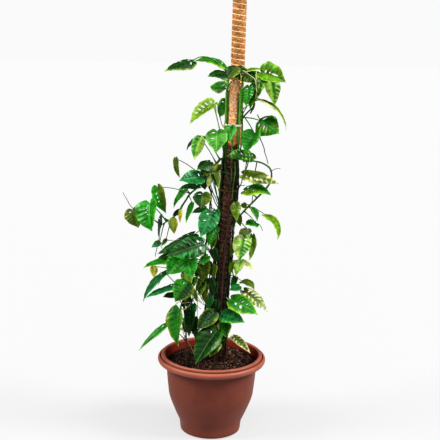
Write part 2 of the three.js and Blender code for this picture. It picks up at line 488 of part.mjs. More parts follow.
function leafGeometry(leaf) {
  const large = leaf.wide >= LARGE_LEAF;
  const midrib = large ? BIG_MIDRIB : SMALL_MIDRIB;
  const edge = large ? BIG_EDGE : SMALL_EDGE;
  const { point } = blade(leaf);
  const flat = [];
  for (const side of [1, -1]) {
    const holes = HOLE_ORDER.slice(0, leaf.holes).filter((hole) => hole[0] === side).map((hole) => hole[1]);
    for (const cell of halfCells(side, edge, midrib, holes)) {
      for (const triangle of cellTriangles(cell)) {
        flat.push(side > 0 ? triangle : triangle.slice().reverse());
      }
    }
  }
  const key = ([s, t]) => `${s.toFixed(5)},${t.toFixed(5)}`;
  const edges = new Map();
  for (const triangle of flat) {
    triangle.forEach((from, i) => {
      const to = triangle[(i + 1) % 3];
      edges.set(`${key(from)}|${key(to)}`, [from, to]);
    });
  }
  const points = [];
  const put = (corner, lift) => points.push(point(corner[0], corner[1], lift));
  for (const [a, b, c] of flat) {
    put(a, BLADE / 2);
    put(b, BLADE / 2);
    put(c, BLADE / 2);
    put(c, -BLADE / 2);
    put(b, -BLADE / 2);
    put(a, -BLADE / 2);
  }
  for (const [a, b] of edges.values()) {
    if (edges.has(`${key(b)}|${key(a)}`)) {
      continue;
    }
    put(b, BLADE / 2);
    put(a, BLADE / 2);
    put(a, -BLADE / 2);
    put(b, BLADE / 2);
    put(a, -BLADE / 2);
    put(b, -BLADE / 2);
  }
  return new THREE.BufferGeometry().setFromPoints(points);
}

function nearest(path, u, v) {
  let best = path[0];
  let least = Infinity;
  for (const point of path) {
    const [pu, pv] = seen(point);
    const away = (pu - u) ** 2 + (pv - v) ** 2;
    if (away < least) {
      least = away;
      best = point;
    }
  }
  return best;
}

function petiole(leaf, centres) {
  const root = nearest(centres, leaf.rootU, leaf.rootV);
  const { point } = blade(leaf);
  const end = point(0.04, 0, 0);
  const middle = root.clone().lerp(end, 0.6);
  middle.z += leaf.rise ?? PETIOLE_RISE * root.distanceTo(end);
  const size = leaf.wide >= LARGE_LEAF ? PETIOLE_RADIUS : PETIOLE_RADIUS * 0.8;
  return tube(new THREE.QuadraticBezierCurve3(root, middle, end), size, 3, 2);
}

function vine(name) {
  const stem = STEMS[name];
  const path = stemPath(name);
  const centres = stemCentres(path);
  let body = solid(tube(new THREE.CatmullRomCurve3(path), stem.radius, 5, stemSteps(path)));
  for (const values of LEAVES) {
    const leaf = row(values);
    if (leaf.vine === name) {
      body = body.add(solid(leafGeometry(leaf))).add(solid(petiole(leaf, centres)));
    }
  }
  for (const tendril of TENDRILS.filter((entry) => entry.vine === name)) {
    const way = curve(tendril.path);
    const sides = tendril.radius > SPIKE_RADIUS ? 4 : 3;
    body = body.add(solid(tube(way, tendril.radius ?? TENDRIL_RADIUS, sides, tendril.path.length)));
  }
  return body;
}

function innerRadius(z) {
  return along(POT_INSIDE.map(([r, h]) => [h, r]).reverse(), z);
}

function lathe(profile, segments) {
  const turned = new THREE.LatheGeometry(profile.map(([r, z]) => new THREE.Vector2(r, z)), segments);
  turned.rotateX(Math.PI / 2);
  return turned;
}

function outward(geometry) {
  const body = closed(geometry);
  const index = body.index.array;
  const position = body.attributes.position;
  let volume = 0;
  const [a, b, c] = [new THREE.Vector3(), new THREE.Vector3(), new THREE.Vector3()];
  for (let i = 0; i < index.length; i += 3) {
    a.fromBufferAttribute(position, index[i]);
    b.fromBufferAttribute(position, index[i + 1]);
    c.fromBufferAttribute(position, index[i + 2]);
    volume += a.dot(b.cross(c));
  }
  if (volume < 0) {
    for (let i = 0; i < index.length; i += 3) {
      [index[i + 1], index[i + 2]] = [index[i + 2], index[i + 1]];
    }
  }
  return body;
}

function pot() {
  const inside = [...POT_INSIDE, [90, POT_FLOOR], [0, POT_FLOOR]];
  let body = solid(outward(lathe([[0, 0], ...POT_OUTSIDE, ...POT_RIM, ...inside], POT_SEGMENTS)));
  for (let i = 0; i < DRAIN_HOLES; i += 1) {
    const angle = 2 * Math.PI * i / DRAIN_HOLES;
    const hole = new THREE.CylinderGeometry(DRAIN_RADIUS, DRAIN_RADIUS, 20, 8);
    hole.rotateX(Math.PI / 2);
    hole.translate(DRAIN_CIRCLE * Math.cos(angle), DRAIN_CIRCLE * Math.sin(angle), 0);
    body = body.subtract(solid(hole));
  }
  return body;
}

function bend(geometry, axis, y) {
  const position = geometry.attributes.position;
  for (let i = 0; i < position.count; i += 1) {
    position.setX(i, position.getX(i) + along(axis, position.getZ(i)));
    position.setY(i, position.getY(i) + y);
  }
  return geometry;
}

function levels(from, to, step) {
  const count = Math.max(1, Math.round((to - from) / step));
  return Array.from({ length: count + 1 }, (_, i) => from + (to - from) * i / count);
}

// Heights from foot to top with a stop wherever the axis changes direction.
function stops(axis, foot, top) {
  return [foot, ...axis.map(([z]) => z).filter((z) => z > foot && z < top), top];
}

// A coir sleeve: a scalloped round with a domed top, open below over its stake.
function sleeve(radius, foot, top, axis, y) {
  const bore = STAKE_RADIUS + CLEARANCE;
  const ceiling = top - STAKE_COVER + CLEARANCE;
  const rise = levels(foot, top - radius * 0.6, WRAP_PITCH);
  const outside = rise.map((z, i) => [radius - (i % 2 ? 0 : WRAP_DEPTH), z]);
  const dome = [[radius * 0.86, top - radius * 0.24], [radius * 0.5, top - radius * 0.05], [0, top]];
  const inside = [[0, ceiling], ...stops(axis, foot, ceiling).reverse().map((z) => [bore, z])];
  return solid(outward(bend(lathe([...inside, ...outside, ...dome], POLE_SEGMENTS), axis, y)));
}

function rod(foot, top, axis, y, radius) {
  const side = stops(axis, foot, top).map((z) => [radius, z]);
  return solid(outward(bend(lathe([[0, foot], ...side, [0, top]], POLE_SEGMENTS), axis, y)));
}

function ground(x, y) {
  const away = Math.hypot(x - 26, y - 6);
  const ridges = 1.8 * Math.sin(x / 9 + 2 * Math.sin(y / 17));
  const furrows = 1.6 * Math.sin(y / 8 + 1.7 * Math.sin(x / 13));
  const mound = MOUND_HEIGHT * Math.exp(-((away / MOUND_SPREAD) ** 2));
  return mound + ridges + furrows - 5 * (Math.hypot(x, y) / 140) ** 4;
}

function soilBody() {
  const walls = POT_INSIDE.map(([r, z]) => [r - SOIL_GAP, z]).reverse();
  const edge = innerRadius(SOIL_LEVEL) - SOIL_GAP;
  const top = [0.88, 0.7, 0.52, 0.36, 0.18].map((k) => [edge * k, SOIL_LEVEL]);
  const bottom = [[0, SOIL_FLOOR], [BASE_RADIUS, SOIL_FLOOR]];
  const profile = [...bottom, ...walls, [edge, SOIL_LEVEL], ...top, [0, SOIL_LEVEL]];
  const turned = outward(lathe(profile, POT_SEGMENTS));
  const position = turned.attributes.position;
  for (let i = 0; i < position.count; i += 1) {
    const [x, y] = [position.getX(i), position.getY(i)];
    if (position.getZ(i) > SOIL_LEVEL - 1 && Math.hypot(x, y) < edge - 1) {
      position.setZ(i, SOIL_LEVEL + ground(x, y));
    }
  }
  return solid(turned);
}

function burrow(path, radius) {
  const way = path.slice(0, 5);
  way[0].addScaledVector(way[1].clone().sub(way[0]).normalize(), -CLEARANCE);
  return solid(tube(new THREE.CatmullRomCurve3(way), radius + HOLE_CLEARANCE, 5, 3));
}

function soil() {
  let body = soilBody();
  body = body.subtract(rod(POLE_FOOT - CLEARANCE, 400, POLE_AXIS, POLE_Y, POLE_RADIUS + 2 * CLEARANCE));
  body = body.subtract(rod(STAKE_FOOT - CLEARANCE, 300, POLE_AXIS, POLE_Y, STAKE_RADIUS + CLEARANCE));
  for (const name of Object.keys(STEMS)) {
    body = body.subtract(burrow(stemPath(name), STEMS[name].radius));
  }
  return body.subtract(burrow(curve(STALK_PATH).points, STALK_RADIUS));
}

function dryStalk() {
  const path = curve(STALK_PATH);
  const head = new THREE.IcosahedronGeometry(STALK_HEAD, 1);
  head.scale(1.5, 1, 0.9);
  head.translate(...path.points[path.points.length - 1].toArray());
  return solid(tube(path, STALK_RADIUS, 5, 9)).add(solid(head));
}

// Where a path passes the height z.
function crossing(path, z) {
  const i = Math.max(1, path.findIndex((point) => point.z > z));
  const [low, high] = [path[i - 1], path[i]];
  return low.clone().lerp(high, (z - low.z) / (high.z - low.z));
}

// The round sections that a tie at height z goes round: the poles there and the stems beside them.
function bundle(z) {
  const poles = [{ x: along(POLE_AXIS, z), y: POLE_Y, radius: POLE_RADIUS }];
  if (z > REAR_FOOT) {
    poles.push({ x: along(REAR_AXIS, z), y: REAR_Y, radius: REAR_RADIUS });
  }
  const held = Object.keys(STEMS).filter((name) => (
    STEMS[name].path.some((point, i, path) => i > 0 && point[0] > z && path[i - 1][0] <= z)
  ));
  return [...poles, ...held.map((name) => {
    const { x, y } = crossing(stemPath(name), z);
    return { x, y, radius: STEMS[name].radius + STEM_SLACK };
  })];
}

function loopAround(rounds, margin) {
  return Array.from({ length: TIE_SIDES }, (_, i) => {
    const angle = 2 * Math.PI * i / TIE_SIDES;
    const [nx, ny] = [Math.cos(angle), Math.sin(angle)];
    const reach = (round) => round.x * nx + round.y * ny + round.radius;
    const far = rounds.reduce((best, round) => (reach(round) > reach(best) ? round : best));
    return new THREE.Vector2(far.x + (far.radius + margin) * nx, far.y + (far.radius + margin) * ny);
  });
}

function tie(z) {
  const rounds = bundle(z);
  const band = new THREE.Shape(loopAround(rounds, TIE_SLACK + TIE_THICKNESS));
  band.holes.push(new THREE.Path(loopAround(rounds, TIE_SLACK).reverse()));
  const ring = new THREE.ExtrudeGeometry(band, { depth: TIE_BAND, bevelEnabled: false, curveSegments: 1 });
  ring.translate(0, 0, z - TIE_BAND / 2);
  return solid(ring);
}

// The knot and its two loose ends on the upper tie, at the front left.
function knot(z) {
  const side = THREE.MathUtils.degToRad(KNOT_BEARING);
  const outer = loopAround(bundle(z), TIE_SLACK + TIE_THICKNESS);
  const spot = outer[Math.round(TIE_SIDES * (1 + KNOT_BEARING / 360))];
  const out = new THREE.Vector3(Math.cos(side), Math.sin(side), 0);
  const centre = new THREE.Vector3(spot.x, spot.y, z).addScaledVector(out, KNOT_RADIUS * 0.5);
  const ball = new THREE.IcosahedronGeometry(KNOT_RADIUS, 1);
  ball.translate(...centre.toArray());
  let body = solid(ball);
  for (const [drift, drop] of [[-9, 9], [-4, 15]]) {
    const end = centre.clone().add(new THREE.Vector3(drift, -3, -drop));
    const middle = centre.clone().lerp(end, 0.5).addScaledVector(out, 3);
    body = body.add(solid(tube(new THREE.QuadraticBezierCurve3(centre, middle, end), TAIL_RADIUS, 4, 3)));
  }
  return body;
}

function poleCoir() {
  return sleeve(POLE_RADIUS, POLE_FOOT, POLE_TOP, POLE_AXIS, POLE_Y);
}

function poleStake() {
  return rod(STAKE_FOOT, POLE_TOP - STAKE_COVER, POLE_AXIS, POLE_Y, STAKE_RADIUS);
}

function rearPoleCoir() {
  return sleeve(REAR_RADIUS, REAR_FOOT, REAR_TOP, REAR_AXIS, REAR_Y);
}

function rearPoleStake() {
  return rod(REAR_STAKE_FOOT, REAR_TOP - STAKE_COVER, REAR_AXIS, REAR_Y, STAKE_RADIUS);
}

function upperTie() {
  return tie(TIE_HEIGHTS.tie_upper).add(knot(TIE_HEIGHTS.tie_upper));
}

const group = new THREE.Group();
group.add(named('pot', geometryOf(pot()), 0x6e372d, 0.5));
group.add(named('soil', geometryOf(soil()), 0x231914, 0.95));
group.add(named('pole_coir', geometryOf(poleCoir()), 0x8a5a34, 0.95));
group.add(named('pole_stake', geometryOf(poleStake()), 0xb08a5c, 0.7));
group.add(named('rear_pole_coir', geometryOf(rearPoleCoir()), 0xc68c50, 0.95));
group.add(named('rear_pole_stake', geometryOf(rearPoleStake()), 0xb08a5c, 0.7));
for (const name of Object.keys(STEMS)) {
  group.add(named(name, geometryOf(vine(name)), 0x3c7a2a, 0.45));
}
group.add(named('dry_stalk', geometryOf(dryStalk()), 0xc88a4a, 0.8));
group.add(named('tie_upper', geometryOf(upperTie()), 0xe6d2c0, 0.7));
group.add(named('tie_lower', geometryOf(tie(TIE_HEIGHTS.tie_lower)), 0xe6d2c0, 0.7));

export default group;
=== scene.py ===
"""Looks of the potted climbing Monstera adansonii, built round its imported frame.

Lengths in the tables are millimetres, as in the part's own source, and go to metres when a mesh is made.
"""

import math
import random
from collections import namedtuple

import bmesh
import bpy
from mathutils import Matrix, Vector, noise
from mathutils.geometry import delaunay_2d_cdt


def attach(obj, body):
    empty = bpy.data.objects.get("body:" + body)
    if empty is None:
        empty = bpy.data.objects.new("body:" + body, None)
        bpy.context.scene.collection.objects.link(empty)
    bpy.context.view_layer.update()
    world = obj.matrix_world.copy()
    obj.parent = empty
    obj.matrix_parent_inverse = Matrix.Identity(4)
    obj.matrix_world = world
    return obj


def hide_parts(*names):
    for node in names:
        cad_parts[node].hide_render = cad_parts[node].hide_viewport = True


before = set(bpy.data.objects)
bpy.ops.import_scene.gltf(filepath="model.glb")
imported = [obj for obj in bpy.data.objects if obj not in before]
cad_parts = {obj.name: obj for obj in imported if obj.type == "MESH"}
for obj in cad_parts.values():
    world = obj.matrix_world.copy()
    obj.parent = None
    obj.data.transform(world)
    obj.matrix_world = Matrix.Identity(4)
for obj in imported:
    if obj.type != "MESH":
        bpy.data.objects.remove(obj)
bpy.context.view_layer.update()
MM = 0.001

# The reference view: the eye, its tilt and roll, and its focal length in picture units.
EYE = Vector((17, -3300, 1480))
TILT = math.radians(13.17)
ROLL = math.radians(1.35)
FOCAL = 1070
FRAME_SIZE = 440
SENSOR = 36
VIEW_CENTRE = 220
AHEAD = Vector((0, math.cos(TILT), -math.sin(TILT)))
ABOVE = Vector((0, math.sin(TILT), math.cos(TILT)))
RIGHT = Vector((1, 0, 0))
VIEW_RIGHT = RIGHT * math.cos(ROLL) + ABOVE * math.sin(ROLL)
VIEW_UP = ABOVE * math.cos(ROLL) - RIGHT * math.sin(ROLL)

# Light. Suns: azimuth (0 in front, 90 right) and elevation in degrees, strength, spread in degrees.
BACKDROP_LIGHT = 0.67
FLOOR_LIGHT = 0.487
FLOOR_HALF = 14
FILL_LIGHT = 0.22
SUNS = {
    "right": (76, 42, 3.4, 26),
    "left": (-72, 40, 2.5, 26),
    "front": (0, 30, 0.5, 50),
    "top": (5, 70, 1.0, 40),
}

# Pot and soil. Profiles are lists of (radius, height), and POT_WALL is the outer radius by height.
POT_HEIGHT = 262
BASE_RADIUS = 88
POT_FLOOR = 5.5
FLOOR_RADIUS = 90
POT_SIDES = 112
DRAIN_HOLES = 6
DRAIN_RADIUS = 6
DRAIN_CIRCLE = 58
DRAIN_SIDES = 16
MOULD_RINGS = (166, 178, 190)
POT_FOOT = [(BASE_RADIUS, 0), (BASE_RADIUS + 1, 0.6), (BASE_RADIUS + 1.6, 2.6), (91, 3.4), (95, 3.6),
            (97.4, 5)]
POT_OUTSIDE = [(98.6, 11), (101.6, 35), (109, 53), (117.7, 73), (134.5, 117), (140, 150), (146.5, 226)]
POT_RIM = [(147.3, 228.6), (156.5, 229), (158.4, 230.2), (158.6, 232.6), (161, 233.6), (168.8, 235.4),
           (173.6, 240), (175, 245.6), (174, 250.4), (171, 253.6), (168.4, 254.4), (167, 253), (166.4, 251.2),
           (165.2, 251), (164.6, 252.6), (164.4, 258.4), (163, 261), (160, POT_HEIGHT), (155.6, POT_HEIGHT),
           (152.6, 260.8), (150.9, 258), (148.8, 252)]
POT_WALL = [(0, BASE_RADIUS), (3.6, 95)] + [(z, r) for r, z in POT_OUTSIDE] + [(POT_HEIGHT, 155)]
POT_INSIDE = [(143, 224), (136.5, 150), (131, 117), (114, 73), (98, 35), (94.5, 12)]
GROOVE_RADIUS = 165.6
SOIL_LEVEL = 236
SOIL_FLOOR = 6
SOIL_GAP = 0.6
SOIL_SIDES = 170
SOIL_RINGS = 60
SOIL_TINT = (0.023, 0.015, 0.011)
MOUND_HEIGHT = 24
MOUND_SPREAD = 34
CRUMBS = 2300
CRUMB_SIZES = (1.0, 1.4, 1.8, 2.4, 3.2, 4.0)
# Crumb colours, each up to its share of the draws.
CRUMB_TINTS = ((0.6, (0.02, 0.014, 0.01)), (0.99, (0.12, 0.056, 0.04)), (2, (0.26, 0.15, 0.09)))
DEAD_ROOTS = 190
# The corners and faces of an octahedron, from which each crumb is made.
OCTA = [Vector(p) for p in ((1, 0, 0), (-1, 0, 0), (0, 1, 0), (0, -1, 0), (0, 0, 1), (0, 0, -1))]
OCTA_FACES = [(0, 2, 4), (2, 1, 4), (1, 3, 4), (3, 0, 4), (2, 0, 5), (1, 2, 5), (3, 1, 5), (0, 3, 5)]

# Poles and ties. An axis is a list of (height, x).
# pale marks the rear pole, which stands in full light and keeps the coir's own tones; the front pole's upper
# coir is painted paler, as painted light.
Pole = namedtuple("Pole", "radius foot top crown axis y pale slot")
POLE_Y = 5
POLE_RADIUS = 19.5
POLE_AXIS = [(150, 12), (290, 17), (440, 21.5), (660, 35), (775, 42.5), (895, 49), (1030, 53), (1160, 54)]
REAR_RADIUS = 21.5
REAR_Y = POLE_Y + POLE_RADIUS + REAR_RADIUS + 0.8
REAR_AXIS = [(900, 59.2), (1402, 62)]
POLES = {
    "pole_coir": Pole(POLE_RADIUS, 190, 1152, 1.1 * POLE_RADIUS, POLE_AXIS, POLE_Y, False, "coir"),
    "rear_pole_coir": Pole(REAR_RADIUS, 945, 1402, 0.45 * REAR_RADIUS, REAR_AXIS, REAR_Y, True, "coir_pale"),
}
POLE_SIDES = 44
POLE_STEP = 2.6
# The rounded top of a pole, as shares of its radius and of its crown.
CROWN = ((0.97, 0.67), (0.88, 0.4), (0.7, 0.18), (0.4, 0.04), (0.15, 0.0))
BORE_RADIUS = 7.9
BORE_DEPTH = 20
FIBRES = 2300
CORD_PITCH = 17
CORD_START = 6
CORD_PALE = (0.9, 0.66, 0.41)
# The height about which the front pole turns from its pale upper coir to dark.
DARK_EDGE = 948
RED_BAND = 784
TIE_HEIGHTS = {"tie_upper": 1012, "tie_lower": 806}
# The lower tie is made dark reddish brown; the upper keeps the band's cream.
TIE_TINTS = {"tie_upper": (1, 1, 1, 0), "tie_lower": (0.16, 0.075, 0.055, 0)}
TIE_SECTION = [(0, -2.6), (0, 2.6), (0.35, 3.1), (0.8, 3.1), (1, 2.4), (1, -2.4), (0.8, -3.1), (0.35, -3.1)]
TIE_SIDES = 96
KNOT_BEARING = -140
KNOT_SIDES = 24

# Stems. A climbing point is (height, bearing round the front pole, gap to it); bearing 0 is right,
# 90 behind, 180 left, -90 in front. view() is a point of the reference view at depth y.


def view(u, v, y):
    return ("view", u, v, y)


def spot(x, y, z):
    return ("spot", x, y, z)


STEMS = {
    "vine_left": (4.2, [
        (175, 196, 7), (240, 196, 7), (400, 190, 2), (600, 184, 1.2), (800, 180, 1.2), (1000, 178, 1.2),
        (1100, 182, 1.2), view(228, 83, -14), view(230, 76, -30), view(233, 69, -36)]),
    "vine_right": (4.2, [
        (175, -10, 9), (240, -10, 8), (400, -4, 2), (600, -6, 1.2), (800, -34, 1.2), (1000, -46, 1.2),
        (1080, -44, 1.2), view(241.5, 88, -14), view(243, 80, -14), view(246, 74, -18)]),
    "vine_front": (3.2, [
        (175, -86, 12), (240, -86, 10), (400, -80, 3), (600, -84, 1.2), (760, -84, 1.2), (900, -90, 1.2),
        (985, -96, 1.2)]),
    "vine_branch": (2.8, [
        (175, -160, 30), (240, -160, 26), (400, -160, 12), (560, -158, 9), (740, -160, 9), (860, -165, 9),
        view(221.5, 158.5, -18), view(212, 169, -30), view(205, 180, -42), view(198, 187, -46),
        view(190, 194, -44), view(186, 200, -44), view(182, 206, -44), view(176, 215, -42),
        view(166, 222, -40), view(161, 225, -38)]),
    "vine_loop": (2.8, [
        (175, 30, 22), (240, 28, 18), (420, 20, 5), (600, 20, 2.5), (690, 14, 4), view(239, 217, -20),
        view(247, 208, -22), view(258, 197, -24), view(268, 186, -26), view(271.5, 177, -26),
        view(270, 168.5, -26), view(262, 163, -24), view(252, 161, -22), view(243, 161.5, -24)]),
    "vine_low_left": (2.8, [
        spot(-34, -42, 175), spot(-34, -42, 240), view(204, 320, -44), view(206, 300, -44),
        view(206, 280, -46), view(205, 262, -48), view(206, 244, -50), view(209, 226, -46),
        view(210, 206, -44), view(212, 190, -40)]),
    "vine_low_right": (2.8, [
        (175, -52, 16), (240, -50, 14), (340, -44, 8), (440, -40, 3), (540, -38, 3), (620, -40, 3),
        view(241, 234, -14)]),
    "vine_foot_left": (2.6, [
        spot(-80, -50, 175), spot(-80, -50, 240), view(186, 334, -56), view(185, 318, -58),
        view(184, 306, -60), view(184, 292, -60), view(182, 280, -58)]),
    "vine_foot_front": (2.8, [
        spot(8, -62, 175), spot(8, -62, 240), view(217, 330, -54), view(218, 316, -48),
        view(221, 306, -44)]),
    "vine_back": (3.2, [
        (175, 100, 8), (240, 100, 6), (400, 104, 2), (500, 112, 2), (600, 128, 3), (800, 140, 4),
        (1000, 146, 4), (1080, 144, 4)]),
}

# Aerial roots, bare side stems and tendrils of each stem: radius, tone, then u, v, y of each point.
STRANDS = {
    "vine_left": """
1.6 shade 227 92 -10 228.4 86.5 -12 231.4 82 -12 235.6 79.6 -10 239.4 82 -12 241.8 87 -12 242.6 92 -10
1.5 pale 215.5 102.5 -46 216 112 -34 217.5 121 -30 219.5 129 -32
1.4 moss 217.5 104.5 -30 219.5 115 -26 221.5 123 -24 224.5 128.5 -22
""",
    "vine_right": """
1.7 moss 254.6 133.2 -26 257.5 133.5 -22 261 140 -20 264.5 150 -19 268.2 164 -16
1.8 moss 262 123.5 -17 259.6 120 -20 257.2 114.5 -22
3.0 shade 241 120.5 -15 248 112 -20 252.5 107.5 -22 254.5 102 -24
1.6 moss 241 116.5 -16 244 111.5 -18 247 106 -20
3.6 dark 236.4 158 -8 238.2 164 -8 238.4 176 -8 238.2 188 -8 237.4 198 -8 236 208 -6
1.6 cream 243 70.4 -46 250 75.3 -62 255.4 80.4 -72 256.4 90 -74 255.6 100 -70
1.3 cream 256.4 72 -66 256.2 80 -73 256.2 88 -75
2.2 pale 241 86 -18 243.6 92 -20 243.2 100 -20 242.6 106 -18 241.3 111 -17
3.2 shade 254.5 103 -25 253 108.5 -25 250.3 113.5 -24
3.2 leafy 241 88 -8 241.9 94 0 242.3 106 6 242.3 120 8 242 134 8 241 146 2 239.8 153 -6
1.2 cream 240.8 73.5 -44 241.1 80 -42
""",
    "vine_front": """
1.3 dark 234.5 185.6 -16 240 185.3 -18 245.3 185.2 -19
2.6 shade 224.5 163 -22 226.5 175 -22 229.5 183 -22 231.4 189 -23
2.5 lit 235 162 -21 235.2 172 -22 233.8 182 -23 232.7 190 -23 232.2 200 -24
1.7 lit 230.8 165 -20 231.2 172 -21 231.6 181 -22
1.1 stem 228.3 187 -21 225 192 -21 222.5 198 -19 221.8 202 -17
0.9 moss 223 186 -21 225 191 -21
1.1 stem 226 226.5 -24 230 223 -25 234.5 220 -25
""",
    "vine_branch": """
1.2 grey 134 209.5 -34 130 205 -34 126 198 -36 122.5 192 -38
1.5 brown 158.8 239 -39 157 248 -38 155.4 256.5 -36
2.2 shade 221.5 158.5 -20 216 166 -28 214.5 178 -31 215.5 188 -30 218.5 203 -26 220.5 213 -22
1.9 moss 206.5 178 -42 209.8 190 -38 213.5 199 -34 218 208 -28 221 214 -22
1.8 dark 207 177.5 -42 210.6 190 -38 211.2 203 -36 212.6 213 -34 215 222 -34
1.7 shade 208 176 -42 212 189 -36 215 197 -33 219 206 -26 221.5 211 -22
1.4 moss 209 175 -41 213.5 184 -35 216.5 194 -30 219.8 205 -25 221.5 212 -22
1.7 stem 214 168 -32 215.5 176 -31 218 186 -27 219.4 196 -24 219.8 206 -22 221 214 -20
1.2 grey 167.4 240.4 -30 173.4 240.4 -34
1.1 olive 161 245 -34 162 249 -34
""",
    "vine_loop": """
1.2 grey 269.8 171.5 -26 276 168.6 -28 281 168.3 -30
1.2 grey 255.2 222.8 -30.5 260 225 -28 262.5 231 -28
1.8 stem 257 161.8 -23 255 171 -20 253.8 180 -20 253.2 191 -20 252 203.2 -23
1.9 moss 248.5 161.2 -23 245 172 -25 241.5 182 -26 239 188 -24 236 196 -20
1.4 moss 242 223 -28 244.5 226 -30 247.5 229.5 -30
""",
    # The dark strands here, with the small deep leaves, fill the dark mass left of the front pole; their near
    # black is partly painted shade.
    "vine_low_left": """
2.4 dark 209 227 -46 210.5 243 -43 213.5 258 -40 215 272 -40 213.5 290 -41 210 306 -42 204.5 317 -44
2.2 dark 206 257 -48 209.5 268 -45 209.6 283 -44 209 297 -44 204.6 313 -44
1.5 dark 205 243 -52 209 250 -48 214 260 -42 219 270 -36
1.4 dark 203 244 -54 209 252 -49 216 260 -42
1.6 dark 213 262 -38 213.5 280 -36 215 300 -36 216.5 316 -38
1.4 moss 199 231 -66 190.5 238 -66
1.8 dark 216.5 247 -30 217 262 -30 217.5 280 -32 217 300 -34 218.5 318 -38
1.9 dark 211.5 262 -44 212 276 -43 211 292 -42 213.5 310 -42
1.8 dark 207.5 276 -46 208 290 -46 210.5 304 -46 213.5 316 -46
1.4 olive 186 274 -66 189.5 285 -62 193.5 294 -58 199 301.5 -52 205 305.5 -48
1.4 olive 190.5 284 -62 196 291 -58 202.5 299 -52 209 305.5 -46
1.2 olive 199.5 281 -58 203 290 -54 206.6 299 -50 210.5 308 -46
1.2 olive 205 281 -56 206.8 291 -52 209 300 -49 211.6 308.5 -46
1.1 stem 204 285 -57 200 292 -58 195.5 297 -58 191.5 300.5 -58
1.1 stem 196 279 -60 197.5 288 -57 201 297 -53 204 304 -48
1.2 moss 193 287 -60 192.5 296 -58 194.5 303 -52 201 309 -48
1.2 olive 188 268 -60 194 278 -58 200 288 -54 207 297 -50
1.1 stem 208 268 -50 202 280 -54 197 290 -56 193 299 -58
1.3 moss 199 262 -54 203 274 -52 206 286 -50 208 298 -48
1.1 olive 192 270 -60 193 282 -60 196 294 -58 202 303 -52
0.9 grey 197.5 303 -50 197.2 311 -48 197.7 320 -48
1.2 cream 205 302.5 -50 207 306 -50 206 309.5 -50
""",
    "vine_low_right": """
2.0 dark 233 255 -22 231.5 266 -24 233.5 278 -24 232 290 -24
1.5 dark 236 238 -20 238.5 236.3 -21 241 234.5 -21
1.2 cream 235.6 225 -22 233.4 229 -23 234.6 233 -23 232.4 236.5 -22
""",
    "vine_foot_left": """
1.1 blush 175.5 305 -64 179 302 -66 183.5 303.4 -66 189.5 302 -64
1.1 blush 180 306.5 -66 184 309.3 -66 188.5 306 -66 191 302.3 -64
0.9 blush 190 308.5 -62 191.2 313.5 -62 192 317.5 -60
0.9 blush 178 308.5 -66 184 309.5 -64
1.7 dark 186 303 -60 188 315 -60 187 330 -60 184.5 338 -60
1.6 dark 191 308 -56 189.6 322 -56 191 334 -56
1.4 olive 184 274 -60 186 279 -61 188 284 -62
1.2 brown 162 276 -58 160 281 -60 158 285 -60
""",
    "vine_foot_front": """
1.4 cream 226 297 -40 229 300.5 -44 229.6 305 -48 233 308.7 -54 239 311.5 -60 243.5 314.5 -64
1.1 cream 225 320.5 -56 230.5 325 -60
1.8 dark 222 312 -42 221.5 326 -44 222 340 -46
1.8 dark 226.5 300 -36 224.5 318 -40 224.5 336 -44
""",
}

# Bare stems that hug the front pole: radius, tone, then height, bearing, gap of each point.
CLIMBERS = {
    "vine_left": """
2.3 leafy 872 -152 0.3 960 -150 0.3 1050 -150 0.3 1118 -154 0.6
1.4 olive 560 -150 0.5 600 -120 0.6 640 -96 0.6 670 -70 0.6
1.5 moss 640 -165 0.6 590 -140 0.8 520 -118 1 440 -112 1 360 -120 1
""",
    "vine_right": """
1.4 moss 650 -36 0.6 590 -52 0.6 520 -70 0.8 450 -96 0.8 380 -110 1
1.3 olive 520 -30 0.6 480 -44 0.6 440 -40 0.8 380 -52 1
2.2 leafy 1010 -62 0.3 1060 -60 0.3 1112 -64 0.3
""",
    "vine_front": """
1.2 brown 470 -80 0.6 500 -104 0.6 560 -118 0.6 620 -150 0.8
""",
}

# Clinging roots: the bearing they start from, how far round they go, how many.
ROOT_RUNS = {"vine_left": (182, 90, 30), "vine_right": (-20, -80, 26)}

# The noise by which the strands wander takes its offsets from this seed.
STRAND_SEED = 6

# The dry stalk, from the soil to its curled head.
STALK_PATH = [spot(-52, -8, 190), spot(-52, -8, 240), view(192.5, 350, -6), view(187, 340, -4),
              view(184, 335, -2), view(182, 329, 0)]
STALK_TAN = (0.55, 0.3, 0.11)
STALK_CREAM = (0.8, 0.68, 0.4)

